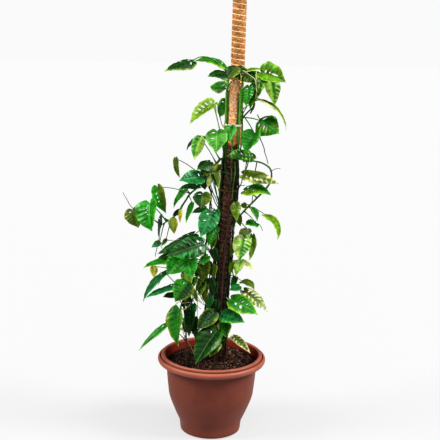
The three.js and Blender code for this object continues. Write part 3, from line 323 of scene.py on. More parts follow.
# Leaves of each stem: heel u, v, y, tip u, v, y, width, turn, fold, curl, holes, root u, v, tone and
# sometimes how far the petiole rises. Angles are degrees; see Blade and leaf_tint().
LEAVES = {
    "vine_left": """
225 67 -14 194 61.5 -34 54 66 12 60 3 229 77 mid/grass
193 61 -40 164.5 71.5 -66 60 56 -8 40 3 230 76 deep/grass 60
229 73.5 -40 207.5 76.5 -82 60 58 -4 40 1 230 80 deep
225 87 8 209.5 86.5 48 46 36 10 15 1 228 92 mid/lime
236 68 -50 226.5 81.5 -70 54 44 18 24 1 232 71 deep|olive
213.7 104 -46 189.5 124 -78 56 36 46 26 3 225 150 lime|grass
225.5 101 34 219.5 117.5 60 40 30 10 30 1 227 118 mid/lime
""",
    "vine_right": """
238.5 67 -19 255 84 -52 58 -30 -18 30 3 243 78 deep~grass
261.5 73 -34 286 82.5 -58 76 -30 40 30 3 246 74 grass~mid
247.5 70.3 -26 262 69.8 -34 34 -72 10 30 1 245 75 grass/lime
270.5 78 -20 275 105.5 -26 50 -28 16 20 1 246 76 lime~grass|mid~lime
263 77 -48 253.5 103 -60 54 45 16 24 1 245 77 mid~grass
249.5 87 -62 246 106.5 -74 40 35 16 20 1 242 90 bright~deep
256 85 -52 250 109 -66 42 30 14 20 1 242 96 mid~grass
258 99.5 -20 286.5 130 -50 50 -76 14 70 1 241 112 pale|grass
254.5 133 -26 245.5 153.5 -62 66 26 36 24 0 241 112 bright|mid
259.5 120.5 -16 279.5 134 -58 84 -16 -13 60 3 241 118 mid~grass
250 74 -26 266 80 -30 44 -50 10 20 0 245 75 mid
""",
    "vine_front": """
231 126.6 -48 229.5 142.5 -76 38 20 16 20 0 232 132 bright~fresh
217 131 -56 216.3 153 -104 64 4 12 24 3 231 140 fresh
251 157.5 -66 226 156.5 -84 60 52 21 20 3 233 150 deep~fresh
236 203 -44 237 221 -66 36 34 14 20 0 232 210 grass~lime
237 214 -32 240.5 226.5 -40 24 -20 14 20 0 230 220 olive
212 171 -52 219 190 -62 26 -46 12 20 1 230 176 deep|lime
""",
    "vine_branch": """
199.8 137.5 -56 194.4 160 -74 40 18 10 24 1 216.5 164 fresh|lime
204.5 137 -30 186.5 150.5 -46 32 62 10 80 1 220 160 deep
210.5 161.5 -66 197 169.5 -96 50 38 -11 20 1 212 170 deep
175.8 158.5 -56 180 178 -62 26 50 12 40 0 194 171 olive
201.5 178 -78 179 180.5 -112 54 32 25 20 1 205 181 teal
199 186 -58 178.5 189.5 -66 34 56 8 50 1 200 185 deep
186.5 188 -40 173.5 208 -50 34 58 12 40 1 190 194 mid
150 203 -60 152 231.5 -98 94 42 33 30 3 166 221 bright
157.5 187 -36 166 213.5 -54 48 30 26 24 2 190 193 bright|olive
132.5 209.5 -34 138.5 228 -50 60 0 10 30 2 161 225 olive
161.2 216 -26 159.4 240 -40 38 74 12 20 1 168 220 deep
160 242 -28 151.5 247.5 -38 22 30 8 20 0 164 223 teal
166.3 239.2 -28 161.5 246 -34 14 30 8 20 0 172 218 olive
173.3 219 -46 174.5 234 -52 32 30 20 20 0 175 216 lime|yellow
181 210 -52 180 223 -58 14 30 20 20 0 182 206 yellow
192.5 203.5 -50 186 223 -58 26 52 14 20 0 189 196 bright
181 211 -34 172.5 216 -42 24 40 10 30 0 184 202 deep
208 168 -52 202 176.5 -74 36 30 10 20 0 212 170 deep|olive
219 164.5 -30 215.5 172 -36 28 20 10 20 0 213 168 yellow|olive
217.3 172 -34 220.5 181.5 -36 18 30 10 20 0 212 171 pale
211 176 -42 207.5 187.5 -46 22 20 10 20 0 213 172 pale
203 176 -34 205 190 -36 34 10 10 20 0 205 181 deep
""",
    "vine_loop": """
254 158.5 -34 240 150 -36 34 130 8 30 1 254 161 olive~pale
243.5 174.5 -40 278.8 184 -66 50 -40 8 24 1 247 162 olive~pale
244.5 190.3 -36 271.3 195 -64 62 -54 8 66 3 257 198 grass|mid
243 203.5 -30 246.5 209 -40 18 -10 8 10 0 250 205 olive
251 208.8 -34 257.3 221.6 -52 34 -50 41 20 1 248 207 grass|mid
265.5 215.2 -24 277.5 240 -52 46 -60 11 105 1 249 207 grass
256 222.7 -30 245.3 224.7 -58 40 50 8 20 1 244 211 mid
""",
    # Many small deep leaves here, with this stem's dark strands, fill the dark mass left of the front pole;
    # their darkness is partly painted shade.
    "vine_low_left": """
203 193 -80 201 208.5 -106 56 10 10 20 1 211 200 deep|olive
206 208 -56 192 213 -66 32 50 8 24 1 210 214 deep
212 213 -76 200.5 237.3 -112 60 8 12 24 3 208 230 teal
215 227 -42 208 246 -60 38 20 14 20 1 207 240 mid
193.5 233.5 -66 157 254.3 -112 62 34 -29 14 3 205 250 deep~teal
203 244 -92 166 256 -136 66 14 8 24 3 206 262 deep~teal
182 257.5 -66 167 275 -92 70 18 10 24 1 206 272 bright
187 257 -96 192 278.5 -128 56 0 10 24 3 206 276 bright~teal
206 262 -54 203 282.5 -66 36 18 10 20 1 206 286 olive
168 259.8 -46 143.3 267.8 -84 48 64 10 24 1 205 282 bright/grass
173 254.5 -28 157 259.5 -40 40 56 8 20 1 205 262 deep
153.8 266.5 -33 153.7 278 -37 24 14 10 -20 0 205 284 yellow
214 312.5 -74 197 329.7 -100 52 20 10 24 1 204 318 deep/olive
208 256 -54 199 265 -70 30 30 10 20 1 206 258 mid
216 210 -52 216.5 225 -66 26 10 8 20 1 209.5 208 teal
200 281 -50 196 292 -60 16 30 10 20 0 206 290 olive
205 283 -52 200 297 -60 18 40 10 20 0 206 296 lime
197 277 -60 193 288 -66 14 30 10 20 0 206 285 lime
198 319 -38 192.5 334.5 -46 40 10 10 20 0 203.5 321 deep
213 249 -50 216.5 262 -58 26 20 12 20 0 209 250 deep
208 262 -54 211.5 276 -62 28 26 12 20 0 206 264 deep
215 265 -46 212.5 279 -56 20 10 14 20 0 208 268 olive
210 279 -52 214 293 -60 28 20 10 20 0 206 282 deep
215.5 283 -44 213.5 297 -54 20 10 12 20 0 208 286 deep
211 296 -52 207.5 310 -60 28 34 10 20 0 206 300 teal
217 300 -42 216 313 -52 22 14 12 20 0 208 302 deep
214 236 -44 212 249 -52 24 20 12 20 0 208 238 olive
191 262 -56 195 275 -62 18 30 10 20 0 200 262 lime
198 266 -58 202 280 -64 18 24 10 20 0 206 266 olive
189 276 -58 186 288 -64 16 30 10 20 0 196 278 olive
207 285 -54 205 300 -60 16 24 10 20 0 209 285 olive
194 291 -56 198 303 -62 16 30 10 20 0 200 290 grass
203 270 -56 207 284 -60 18 30 12 20 0 208 270 deep
202 279 -46 199 295 -52 26 20 10 20 1 206 280 deep
193 278 -66 190 292 -70 22 20 10 20 1 200 275 mid
204 292 -48 208 306 -52 20 20 10 20 0 209 290 olive
200 264 -50 196 278 -56 24 20 10 20 1 205 264 deep
""",
    "vine_low_right": """
247 229 4 241 240 26 38 150 10 20 1 241 236 pale
243.5 237 -50 239.3 260.7 -84 58 18 14 20 3 240 246 lime~pale|mid~lime
252.5 235.7 -22 249 261 -34 36 -50 10 36 1 241 238 grass/lime
242 260.8 -30 254 270 -48 34 -60 10 20 1 236 262 pale
241 260 -52 235.7 276 -72 34 36 12 20 1 235 266 lime~grass
231.5 299.6 -52 258 314.6 -96 62 -24 10 24 3 229 300 mid/grass
244.5 291 -24 267.5 311.5 -56 50 -38 12 24 3 230 290 olive~pale
242 281.3 -18 254.3 289.7 -40 42 -56 10 90 1 233 276 olive
239.5 286 -46 230 290.5 -60 34 40 8 20 1 231 284 teal
236 277 -24 231 288 -30 22 30 10 20 0 233 280 mid
234 243 -26 231 257 -34 20 20 14 20 0 240 246 olive
233 262 -26 230 275 -34 20 30 12 20 0 236 264 grass
""",
    "vine_foot_left": """
190.5 308 -62 189 337 -66 36 24 12 20 0 184.5 312 deep
195 318 -58 196 340 -64 26 30 10 20 0 185 330 deep
186 271 -70 190 287 -84 38 14 10 20 1 184 290 lime
165.5 272.5 -56 143 301.8 -90 42 60 10 46 1 184 296 teal
176 285.3 -64 144.5 298.3 -108 42 62 8 14 1 184 300 teal
176 294.3 -42 162.8 297 -58 32 50 8 20 1 184 308 deep
187 283 -92 175 302 -116 66 6 10 24 1 184 312 mid|deep/olive
179.5 309 -88 178.5 346.5 -128 74 46 39 24 0 186 330 mid/olive
167 324.3 -60 138.8 350.5 -92 26 46 12 20 1 186 340 mid
189.5 317 -40 184 333 -50 34 20 10 20 0 185.5 325 deep
193 304 -46 190 319 -56 30 20 10 20 0 184.5 312 teal
191 298.5 -50 180 307 -60 30 30 10 20 0 184.5 302 deep
""",
    "vine_foot_front": """
217 331 -96 195 365 -140 84 30 30 24 2 215 350 deep
218 342 -62 209.5 356.8 -78 36 18 10 20 1 215 352 olive/lime
224 322.5 -54 226 337.5 -74 44 4 26 20 1 216 340 mid/yellow
221.5 314 -58 244.8 322.5 -92 56 -34 10 24 1 217 328 teal/mid
233.5 336.5 -22 250.5 353.5 -60 30 -34 14 24 1 216 346 olive~pale/pale
224 331 -30 221 347 -44 30 10 10 20 0 217.5 332 deep
""",
    "vine_back": """
226 134 70 216 150 120 48 168 10 24 1 229 150 bright
230 200 76 226 220 126 44 168 10 24 1 224 215 deep
224 240 66 216 258 116 44 166 10 24 1 224 250 mid
218 290 62 214 310 110 44 170 10 24 1 220 300 mid
222 308 66 224 328 110 44 -170 10 24 1 219 320 bright
""",
}

# Leaf colours, linear: the middle of the blade, then its margin.
TONES = {
    # deep: partly the leaves' own darker green, partly painted shade for leaves that sit in shadow inside the
    # plant.
    "deep": ((0.005, 0.044, 0.004), (0.03, 0.12, 0.01)),
    "mid": ((0.018, 0.16, 0.009), (0.07, 0.29, 0.02)),
    "bright": ((0.018, 0.22, 0.009), (0.07, 0.36, 0.024)),
    "grass": ((0.11, 0.21, 0.01), (0.27, 0.42, 0.03)),
    "fresh": ((0.06, 0.22, 0.028), (0.16, 0.42, 0.07)),
    "lime": ((0.22, 0.36, 0.055), (0.46, 0.58, 0.16)),
    "olive": ((0.065, 0.11, 0.007), (0.19, 0.23, 0.02)),
    # teal: a dark green with a painted bluish sheen, the reflection that glossy dark leaves show.
    "teal": ((0.014, 0.14, 0.04), (0.04, 0.25, 0.06)),
    "pale": ((0.45, 0.5, 0.18), (0.66, 0.64, 0.34)),
    "yellow": ((0.42, 0.4, 0.04), (0.6, 0.52, 0.12)),
}
# lit and shade are one stem green painted lit and in shade; dark and low are near black, painted shade on
# strands and lower stems inside the plant.
STEM_TONES = {
    "green": (0.15, 0.42, 0.045),
    "petiole": (0.08, 0.24, 0.03),
    "low": (0.014, 0.022, 0.008),
    "buried": (0.075, 0.036, 0.02),
    "bark": (0.085, 0.042, 0.03),
    "root": (0.22, 0.1, 0.065),
    "grey": (0.11, 0.1, 0.075),
    "brown": (0.15, 0.075, 0.028),
    "dark": (0.011, 0.017, 0.007),
    "shade": (0.03, 0.12, 0.015),
    "moss": (0.018, 0.07, 0.01),
    "stem": (0.09, 0.17, 0.03),
    "olive": (0.19, 0.25, 0.05),
    "lit": (0.11, 0.32, 0.05),
    "leafy": (0.03, 0.2, 0.012),
    "pale": (0.42, 0.5, 0.2),
    "cream": (0.68, 0.64, 0.36),
    "blush": (0.72, 0.58, 0.46),
}
# The heights between which a stem takes on a tone.
STEM_TURNS = {"low": (330, 430), "bark": (330, 430), "shade": (420, 700), "green": (870, 1010)}
LEAF_THICK = 0.8
LEAF_GROW = 1.05
DROOP = 22
RUFFLE = 2.2
PETIOLE_RISE = 0.12
LARGE_LEAF = 54
JOINT_STEP = 34
VEIN_PITCH = 0.14
LEAF_GRID = 4.2
HOLE_SIDES = 16
HALF_OUTLINE = [(0, 0), (-0.06, 0.15), (-0.1, 0.36), (-0.05, 0.6), (0.03, 0.8), (0.12, 0.95), (0.24, 1),
                (0.36, 0.98), (0.48, 0.9), (0.6, 0.76), (0.7, 0.6), (0.79, 0.42), (0.87, 0.24),
                (0.94, 0.1), (1, 0)]
HOLE_ORDER = [(1, 0.09), (-1, 0.09), (1, 0.35), (-1, 0.35), (1, 0.22), (-1, 0.22), (-1, 0.49), (1, 0.49)]
# Holes of the leaves whose own show, as (s, t, half length, half width), by heel u and v.
OWN_HOLES = {
    (261.5, 73): [(0.14, -0.2, 0.035, 0.12), (0.5, -0.17, 0.13, 0.07), (0.3, -0.2, 0.03, 0.08),
                  (0.35, 0.4, 0.02, 0.16)],
    (213.7, 104): [(0.04, 0.34, 0.022, 0.18), (0.17, 0.42, 0.022, 0.2), (0.3, 0.44, 0.024, 0.22),
                   (0.43, 0.42, 0.024, 0.2), (0.56, 0.34, 0.02, 0.15), (0.22, -0.4, 0.02, 0.16)],
    (150, 203): [(0.1, 0.14, 0.018, 0.05), (0.17, 0.2, 0.02, 0.06), (0.25, 0.13, 0.016, 0.04),
                 (0.31, 0.22, 0.02, 0.06), (0.39, 0.12, 0.014, 0.04), (0.2, 0.36, 0.014, 0.05)],
    (231.5, 299.6): [(0.2, 0.24, 0.04, 0.16), (0.38, 0.28, 0.045, 0.18), (0.34, -0.3, 0.016, 0.14),
                     (0.5, -0.3, 0.014, 0.12)],
    (244.5, 291): [(0.1, -0.34, 0.02, 0.2), (0.22, -0.4, 0.02, 0.24), (0.34, -0.4, 0.02, 0.24),
                   (0.46, -0.36, 0.02, 0.2), (0.1, 0.34, 0.02, 0.2), (0.22, 0.4, 0.02, 0.22)],
    (243.5, 174.5): [(0.1, 0.3, 0.018, 0.12), (0.2, 0.34, 0.018, 0.14), (0.3, 0.36, 0.018, 0.14),
                     (0.4, 0.34, 0.018, 0.14), (0.5, 0.3, 0.018, 0.12), (0.6, 0.26, 0.016, 0.1)],
    (157.5, 187): [(0.2, 0.3, 0.02, 0.12), (0.34, 0.32, 0.02, 0.12), (0.48, 0.3, 0.02, 0.1)],
}


def sight(u, v, y):
    """The point at depth y that the reference view shows at u, v."""
    ray = AHEAD + VIEW_RIGHT * ((u - VIEW_CENTRE) / FOCAL) + VIEW_UP * ((VIEW_CENTRE - v) / FOCAL)
    return EYE + ray * ((y - EYE.y) / ray.y)


def seen(point):
    """Where the reference view shows a point."""
    away = point - EYE
    depth = away.dot(AHEAD)
    u = VIEW_CENTRE + FOCAL * away.dot(VIEW_RIGHT) / depth
    v = VIEW_CENTRE - FOCAL * away.dot(VIEW_UP) / depth
    return u, v


def along(stations, z):
    """The value at z on a line through (z, value) stations."""
    i = 0
    while i < len(stations) - 2 and z > stations[i + 1][0]:
        i += 1
    (z0, x0), (z1, x1) = stations[i], stations[i + 1]
    return x0 + (x1 - x0) * (z - z0) / (z1 - z0)


def ramp(value, low, high):
    """0 below low, 1 above high, and a soft step between."""
    k = min(max((value - low) / (high - low), 0), 1)
    return k * k * (3 - 2 * k)


def blend(a, b, k):
    """A tuple k of the way from a to b."""
    return tuple(p + (q - p) * k for p, q in zip(a, b))


def angles(count):
    return [2 * math.pi * k / count for k in range(count)]


def spin(angle, radius=1.0, z=0.0):
    """A point at an angle round the z axis."""
    return Vector((radius * math.cos(angle), radius * math.sin(angle), z))


def circle(x, y, radius, sides):
    """Points (x, y) round a circle."""
    return [(x + radius * math.cos(angle), y + radius * math.sin(angle)) for angle in angles(sides)]


def smooth(points, per_span):
    """A curve through all the points."""
    path = []
    for i in range(len(points) - 1):
        before = points[max(i - 1, 0)]
        after = points[min(i + 2, len(points) - 1)]
        for k in range(per_span):
            t = k / per_span
            path.append(before * (0.5 * (-t + 2 * t * t - t ** 3))
                        + points[i] * (0.5 * (2 - 5 * t * t + 3 * t ** 3))
                        + points[i + 1] * (0.5 * (t + 4 * t * t - 3 * t ** 3))
                        + after * (0.5 * (-t * t + t ** 3)))
    return path + [points[-1].copy()]


def smooth_flat(stations, per_span):
    """A smooth curve through pairs, as pairs."""
    return [(p.x, p.y) for p in smooth([Vector((a, b, 0)) for a, b in stations], per_span)]


def bow(start, middle, end, steps):
    """A curve from start to end that leans towards middle."""
    shares = [i / steps for i in range(steps + 1)]
    return [start * (1 - k) ** 2 + middle * (2 * k * (1 - k)) + end * k * k for k in shares]


def place(point, radius=0):
    """The place of a view(), spot() or climbing point of a stem with this radius."""
    if point[0] == "view":
        return sight(*point[1:])
    if point[0] == "spot":
        return Vector(point[1:])
    z, bearing, gap = point
    angle = math.radians(bearing)
    reach = POLE_RADIUS + radius + gap
    return Vector((along(POLE_AXIS, z) + reach * math.cos(angle), POLE_Y + reach * math.sin(angle), z))


def evenly(path, step):
    """The same path with points about step apart."""
    out = [path[0].copy()]
    spare = 0.0
    for a, b in zip(path, path[1:]):
        length = (b - a).length
        while spare + length >= step:
            a = a.lerp(b, (step - spare) / length)
            out.append(a.copy())
            length = (b - a).length
            spare = 0.0
        spare += length
    if spare > step * 0.4:
        out.append(path[-1].copy())
    return out


def loop_edges(loops):
    """All points of some closed loops, and the edges between them."""
    points, edges = [], []
    for loop in loops:
        first = len(points)
        points += loop
        edges += [(first + i, first + (i + 1) % len(loop)) for i in range(len(loop))]
    return points, edges


def taper(size, share):
    """A tube's radius that falls by a share from start to end."""
    return lambda k, run: size * (1 - share * k)


def plain(colour):
    return lambda point, k: colour


class Build:
    """Corners, faces and point attributes of one piece, in millimetres."""

    def __init__(self):
        self.points = []
        self.faces = []
        self.tint = []
        self.blade = []
        self.materials = []
        self.rims = set()

    def corner(self, point, tint=(1, 1, 1, 0), blade=(0, 0, 0)):
        self.points.append(point)
        self.tint.append(tint)
        self.blade.append(blade)
        return len(self.points) - 1

    def face(self, corners, material=0):
        self.faces.append(corners)
        self.materials.append(material)

    def bridge(self, low, high, material=0):
        """Faces from one ring of corners to the next; a ring may be a single corner."""
        for k in range(max(len(low), len(high))):
            a, b = low[k % len(low)], low[(k + 1) % len(low)]
            c, d = high[(k + 1) % len(high)], high[k % len(high)]
            self.face(tuple(dict.fromkeys((a, b, c, d))), material)

    def tube(self, path, radius, sides, tint, material=0):
        """A round tube with closed ends; radius(k, distance) and tint(point, k) vary along it."""
        side = (path[1] - path[0]).normalized().orthogonal().normalized()
        run = 0.0
        rings = []
        last = len(path) - 1
        for i, point in enumerate(path):
            if i:
                run += (point - path[i - 1]).length
            tangent = (path[min(i + 1, last)] - path[max(i - 1, 0)]).normalized()
            side = (side - tangent * side.dot(tangent)).normalized()
            other = tangent.cross(side)
            size = radius(i / last, run)
            colour = (*tint(point, i / last), 0)
            ring = [point + side * (size * math.cos(a)) + other * (size * math.sin(a)) for a in angles(sides)]
            rings.append([self.corner(corner, colour) for corner in ring])
        for low, high in zip(rings, rings[1:]):
            self.bridge(low, high, material)
        self.face(tuple(reversed(rings[0])), material)
        self.face(tuple(rings[-1]), material)

    def lathe(self, profile, sides, tint, move=None):
        """A turned body; the profile goes up the outside and back down to the axis."""
        rings = []
        for r, z in profile:
            ring = [spin(angle, r, z) for angle in angles(sides if r > 0 else 1)]
            if move:
                ring = [move(point) for point in ring]
            rings.append([self.corner(point, (*tint(point), 0)) for point in ring])
        for low, high in zip(rings, rings[1:]):
            self.bridge(low, high)


def new_object(name, data):
    obj = bpy.data.objects.new(name, data)
    bpy.context.scene.collection.objects.link(obj)
    return obj


def piece(name, build, materials, node):
    """A piece of the model that stands for a node of the frame."""
    mesh = bpy.data.meshes.new(name)
    mesh.from_pydata([point * MM for point in build.points], [], build.faces)
    tint = mesh.attributes.new("tint", "FLOAT_COLOR", "POINT")
    tint.data.foreach_set("color", [x for row in build.tint for x in row])
    blade = mesh.attributes.new("blade", "FLOAT_VECTOR", "POINT")
    blade.data.foreach_set("vector", [x for row in build.blade for x in row])
    for material in materials:
        mesh.materials.append(material)
    mesh.polygons.foreach_set("material_index", build.materials)
    mesh.polygons.foreach_set("use_smooth", [True] * len(mesh.polygons))
    if build.rims:
        sharp = mesh.attributes.new("sharp_edge", "BOOLEAN", "EDGE")
        sharp.data.foreach_set("value", [tuple(sorted(edge.vertices)) in build.rims for edge in mesh.edges])
    mesh.update()
    obj = new_object(name, mesh)
    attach(obj, "root")
    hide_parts(node)
    return obj


def tidy(obj, weld=0):
    """Joins corners closer than weld, in metres, and turns the faces of closed bodies outwards."""
    shape = bmesh.new()
    shape.from_mesh(obj.data)
    if weld:
        bmesh.ops.remove_doubles(shape, verts=shape.verts, dist=weld)
    bmesh.ops.recalc_face_normals(shape, faces=shape.faces)
    shape.to_mesh(obj.data)
    shape.free()


# Materials


def shader(name, specular):
    """A new material, its node tree and its surface shader."""
    material = bpy.data.materials.new(name)
    material.use_nodes = True
    tree = material.node_tree
    surface = tree.nodes["Principled BSDF"]
    surface.inputs["Specular IOR Level"].default_value = specular
    return material, tree, surface


def put(tree, kind, inputs=None, **settings):
    """A node with its settings made and its inputs linked or filled."""
    node = tree.nodes.new(kind)
    for key, value in settings.items():
        setattr(node, key, value)
    for key, value in (inputs or {}).items():
        if isinstance(value, bpy.types.NodeSocket):
            tree.links.new(value, node.inputs[key])
        else:
            node.inputs[key].default_value = value
    return node


def calc(tree, operation, a, b=0.0, c=0.0):
    """A maths node's result."""
    return put(tree, "ShaderNodeMath", {0: a, 1: b, 2: c}, operation=operation).outputs[0]


def span(tree, value, low, high, to_low=0.0, to_high=1.0):
    """A value mapped softly from low and high to two others."""
    return put(tree, "ShaderNodeMapRange", {0: value, 1: low, 2: high, 3: to_low, 4: to_high},
               interpolation_type="SMOOTHSTEP").outputs[0]


def mix(tree, factor, a, b, blend_type="MIX"):
    """One colour mixed into another; plain colours have three numbers."""
    node = put(tree, "ShaderNodeMix", {0: factor}, data_type="RGBA", blend_type=blend_type)
    for socket, value in ((node.inputs[6], a), (node.inputs[7], b)):
        if isinstance(value, bpy.types.NodeSocket):
            tree.links.new(value, socket)
        else:
            socket.default_value = (*value, 1)
    return node.outputs[2]


def dim(tree, colour, shade):
    return put(tree, "ShaderNodeVectorMath", {0: colour, "Scale": shade}, operation="SCALE").outputs[0]


def grain(tree, scale, detail=3.0, roughness=0.55, distortion=0.0):
    """Noise in the object's own coordinates; scale is one number, or three to stretch it."""
    stretch, scale = (scale, 1) if isinstance(scale, tuple) else ((1, 1, 1), scale)
    at = put(tree, "ShaderNodeTexCoord").outputs["Object"]
    at = put(tree, "ShaderNodeMapping", {"Vector": at, "Scale": stretch}).outputs[0]
    return put(tree, "ShaderNodeTexNoise", {"Vector": at, "Scale": scale, "Detail": detail,
                                            "Roughness": roughness, "Distortion": distortion}).outputs["Fac"]


def painted(tree):
    return put(tree, "ShaderNodeAttribute", attribute_name="tint").outputs["Color"]


def dress(tree, surface, colour, roughness, relief, strength, depth):
    """Links the surface's colour, roughness and bump."""
    bump = put(tree, "ShaderNodeBump", {"Height": relief, "Strength": strength, "Distance": depth})
    for socket, value in (("Base Color", colour), ("Roughness", roughness), ("Normal", bump.outputs[0])):
        tree.links.new(value, surface.inputs[socket])


def leaf_material():
    """A satin blade with sunk paler veins, paler beneath, that lets some light through."""
    material, tree, surface = shader("leaf", 0.32)
    tint = put(tree, "ShaderNodeAttribute", attribute_name="tint")
    below = tint.outputs["Alpha"]
    blade = put(tree, "ShaderNodeAttribute", attribute_name="blade").outputs["Vector"]
    s, t, rim = put(tree, "ShaderNodeSeparateXYZ", {0: blade}).outputs
    out = calc(tree, "ABSOLUTE", t)
    sweep = calc(tree, "MULTIPLY", calc(tree, "POWER", out, 1.3), calc(tree, "MULTIPLY_ADD", s, 0.2, 0.06))
    away = calc(tree, "PINGPONG", calc(tree, "DIVIDE", calc(tree, "SUBTRACT", s, sweep), VEIN_PITCH), 0.5)
    vein = calc(tree, "MULTIPLY", span(tree, away, 0.03, 0.15, 1, 0), span(tree, rim, 0.75, 0.97, 1, 0))
    midrib = span(tree, out, 0.015, 0.06, 1, 0)
    fine = grain(tree, 620, 4)
    broad = grain(tree, 55, 3, 0.6)
    base = dim(tree, tint.outputs["Color"], span(tree, broad, 0.3, 0.7, 0.6, 1.4))
    light = dim(tree, base, 1.9)
    warm = mix(tree, 0.1, light, (0.42, 0.6, 0.1))
    veined = mix(tree, calc(tree, "MULTIPLY", vein, 0.34), base, warm)
    ribbed = mix(tree, calc(tree, "MULTIPLY", midrib, 0.75), veined, warm)
    flecked = mix(tree, span(tree, fine, 0.55, 0.75, 0, 0.22), ribbed, light)
    colour = mix(tree, calc(tree, "MULTIPLY", below, 0.35), flecked, (0.16, 0.33, 0.08))
    gloss = calc(tree, "ADD", span(tree, fine, 0.3, 0.7, 0.24, 0.36), calc(tree, "MULTIPLY", below, 0.22))
    relief = calc(tree, "ADD", calc(tree, "MULTIPLY", fine, 0.35), calc(tree, "MULTIPLY", vein, -0.5))
    dress(tree, surface, colour, gloss, relief, 0.5, 0.0006)
    lit = put(tree, "ShaderNodeBsdfTranslucent", {"Color": mix(tree, 0.35, colour, (0.3, 0.6, 0.03))})
    both = put(tree, "ShaderNodeMixShader", {0: 0.22, 1: surface.outputs[0], 2: lit.outputs[0]})
    tree.links.new(both.outputs[0], tree.nodes["Material Output"].inputs["Surface"])
    return material


def stem_material():
    """Bark streaked along its length, with brown blotches."""
    material, tree, surface = shader("stem", 0.4)
    streak = grain(tree, (900, 900, 90), 3)
    blotch = grain(tree, 90, 4, 0.6)
    shade = calc(tree, "ADD", span(tree, streak, 0.3, 0.7, 0.62, 1.2), span(tree, blotch, 0.4, 0.7, 0, 0.25))
    base = dim(tree, painted(tree), shade)
    colour = mix(tree, span(tree, blotch, 0.58, 0.7, 0, 0.55), base, (0.12, 0.08, 0.035))
    dress(tree, surface, colour, span(tree, blotch, 0.3, 0.7, 0.36, 0.6), streak, 0.5, 0.0005)
    return material


def coir_material(name):
    """Matted threads in clumps, redder in patches."""
    material, tree, surface = shader(name, 0.15)
    threads = grain(tree, (700, 700, 260), 5, 0.65, 0.6)
    patches = grain(tree, 45, 4, 0.6)
    clumps = grain(tree, (150, 150, 210), 3, 0.6)
    shade = calc(tree, "MULTIPLY", span(tree, threads, 0.3, 0.72, 0.55, 1.35),
                 span(tree, patches, 0.3, 0.7, 0.8, 1.2))
    shade = calc(tree, "MULTIPLY", shade, span(tree, clumps, 0.36, 0.64, 0.8, 1.2))
    base = dim(tree, painted(tree), shade)
    red = mix(tree, 1.0, base, (1.15, 0.8, 0.6), "MULTIPLY")
    colour = mix(tree, span(tree, patches, 0.55, 0.68, 0, 0.4), base, red)
    dress(tree, surface, colour, span(tree, threads, 0.3, 0.7, 0.85, 1.0), threads, 0.9, 0.0015)
    return material


def pot_material():
    """Satin moulded plastic, dusty and faintly ringed."""
    material, tree, surface = shader("pot", 0.3)
    fine = grain(tree, 900, 4)
    broad = grain(tree, 14, 4, 0.6)
    drag = grain(tree, (30, 30, 900), 3)
    worn = mix(tree, span(tree, broad, 0.3, 0.7), (0.82, 0.8, 0.78), (1.0, 1.0, 1.0))
    base = mix(tree, 1.0, painted(tree), worn, "MULTIPLY")
    dusty = mix(tree, span(tree, fine, 0.55, 0.8, 0, 0.18), base, (0.34, 0.15, 0.1))
    ringed = mix(tree, span(tree, drag, 0.5, 0.75, 0, 0.3), dusty, (0.08, 0.024, 0.016))
    relief = calc(tree, "ADD", calc(tree, "MULTIPLY", fine, 0.4), calc(tree, "MULTIPLY", drag, 0.6))
    dress(tree, surface, ringed, span(tree, broad, 0.3, 0.7, 0.4, 0.56), relief, 0.25, 0.0006)
    return material


def soil_material():
    """Dark crumbs with paler bits."""
    material, tree, surface = shader("soil", 0.2)
    crumbs = grain(tree, 230, 6, 0.7)
    broad = grain(tree, 28, 4, 0.6)
    shade = calc(tree, "MULTIPLY", span(tree, crumbs, 0.3, 0.72, 0.35, 1.7),
                 span(tree, broad, 0.3, 0.7, 0.6, 1.4))
    base = dim(tree, painted(tree), shade)
    colour = mix(tree, span(tree, grain(tree, 520, 2), 0.63, 0.7, 0, 0.7), base, (0.16, 0.085, 0.04))
    dress(tree, surface, colour, span(tree, crumbs, 0.3, 0.7, 0.8, 1.0), crumbs, 1.0, 0.002)
    return material


def tie_material():
    """Soft woven band, greyed between its threads."""
    material, tree, surface = shader("tie", 0.25)
    weave = grain(tree, (900, 900, 2200), 3)
    broad = grain(tree, 160, 3)
    cream = mix(tree, span(tree, broad, 0.3, 0.7), (0.86, 0.78, 0.66), (0.95, 0.9, 0.82))
    grey = mix(tree, span(tree, weave, 0.45, 0.7, 0, 0.4), cream, (0.5, 0.36, 0.26))
    # The band's cream multiplied by the tie's tint.
    tinted = mix(tree, 1.0, grey, painted(tree), "MULTIPLY")
    dress(tree, surface, tinted, span(tree, weave, 0.3, 0.7, 0.7, 0.9), weave, 0.6, 0.0004)
    return material


def wood_material():
    """Straight-grained bare wood."""
    material, tree, surface = shader("stake_wood", 0.3)
    rings = grain(tree, (420, 420, 18), 5, 0.6, 0.8)
    fine = grain(tree, (1800, 1800, 120), 3)
    base = mix(tree, span(tree, rings, 0.32, 0.68), (0.28, 0.17, 0.08), (0.5, 0.34, 0.19))
    colour = mix(tree, span(tree, fine, 0.5, 0.75, 0, 0.5), base, (0.14, 0.08, 0.04))
    dress(tree, surface, colour, span(tree, fine, 0.3, 0.7, 0.6, 0.8), rings, 0.5, 0.0006)
    return material


def dry_material():
    """Dry streaked straw."""
    material, tree, surface = shader("dry_stalk", 0.25)
    streak = grain(tree, (700, 700, 120), 4, 0.6)
    colour = dim(tree, painted(tree), span(tree, streak, 0.3, 0.72, 0.6, 1.25))
    dress(tree, surface, colour, span(tree, streak, 0.3, 0.7, 0.65, 0.85), streak, 0.7, 0.0006)
    return material


# Leaves


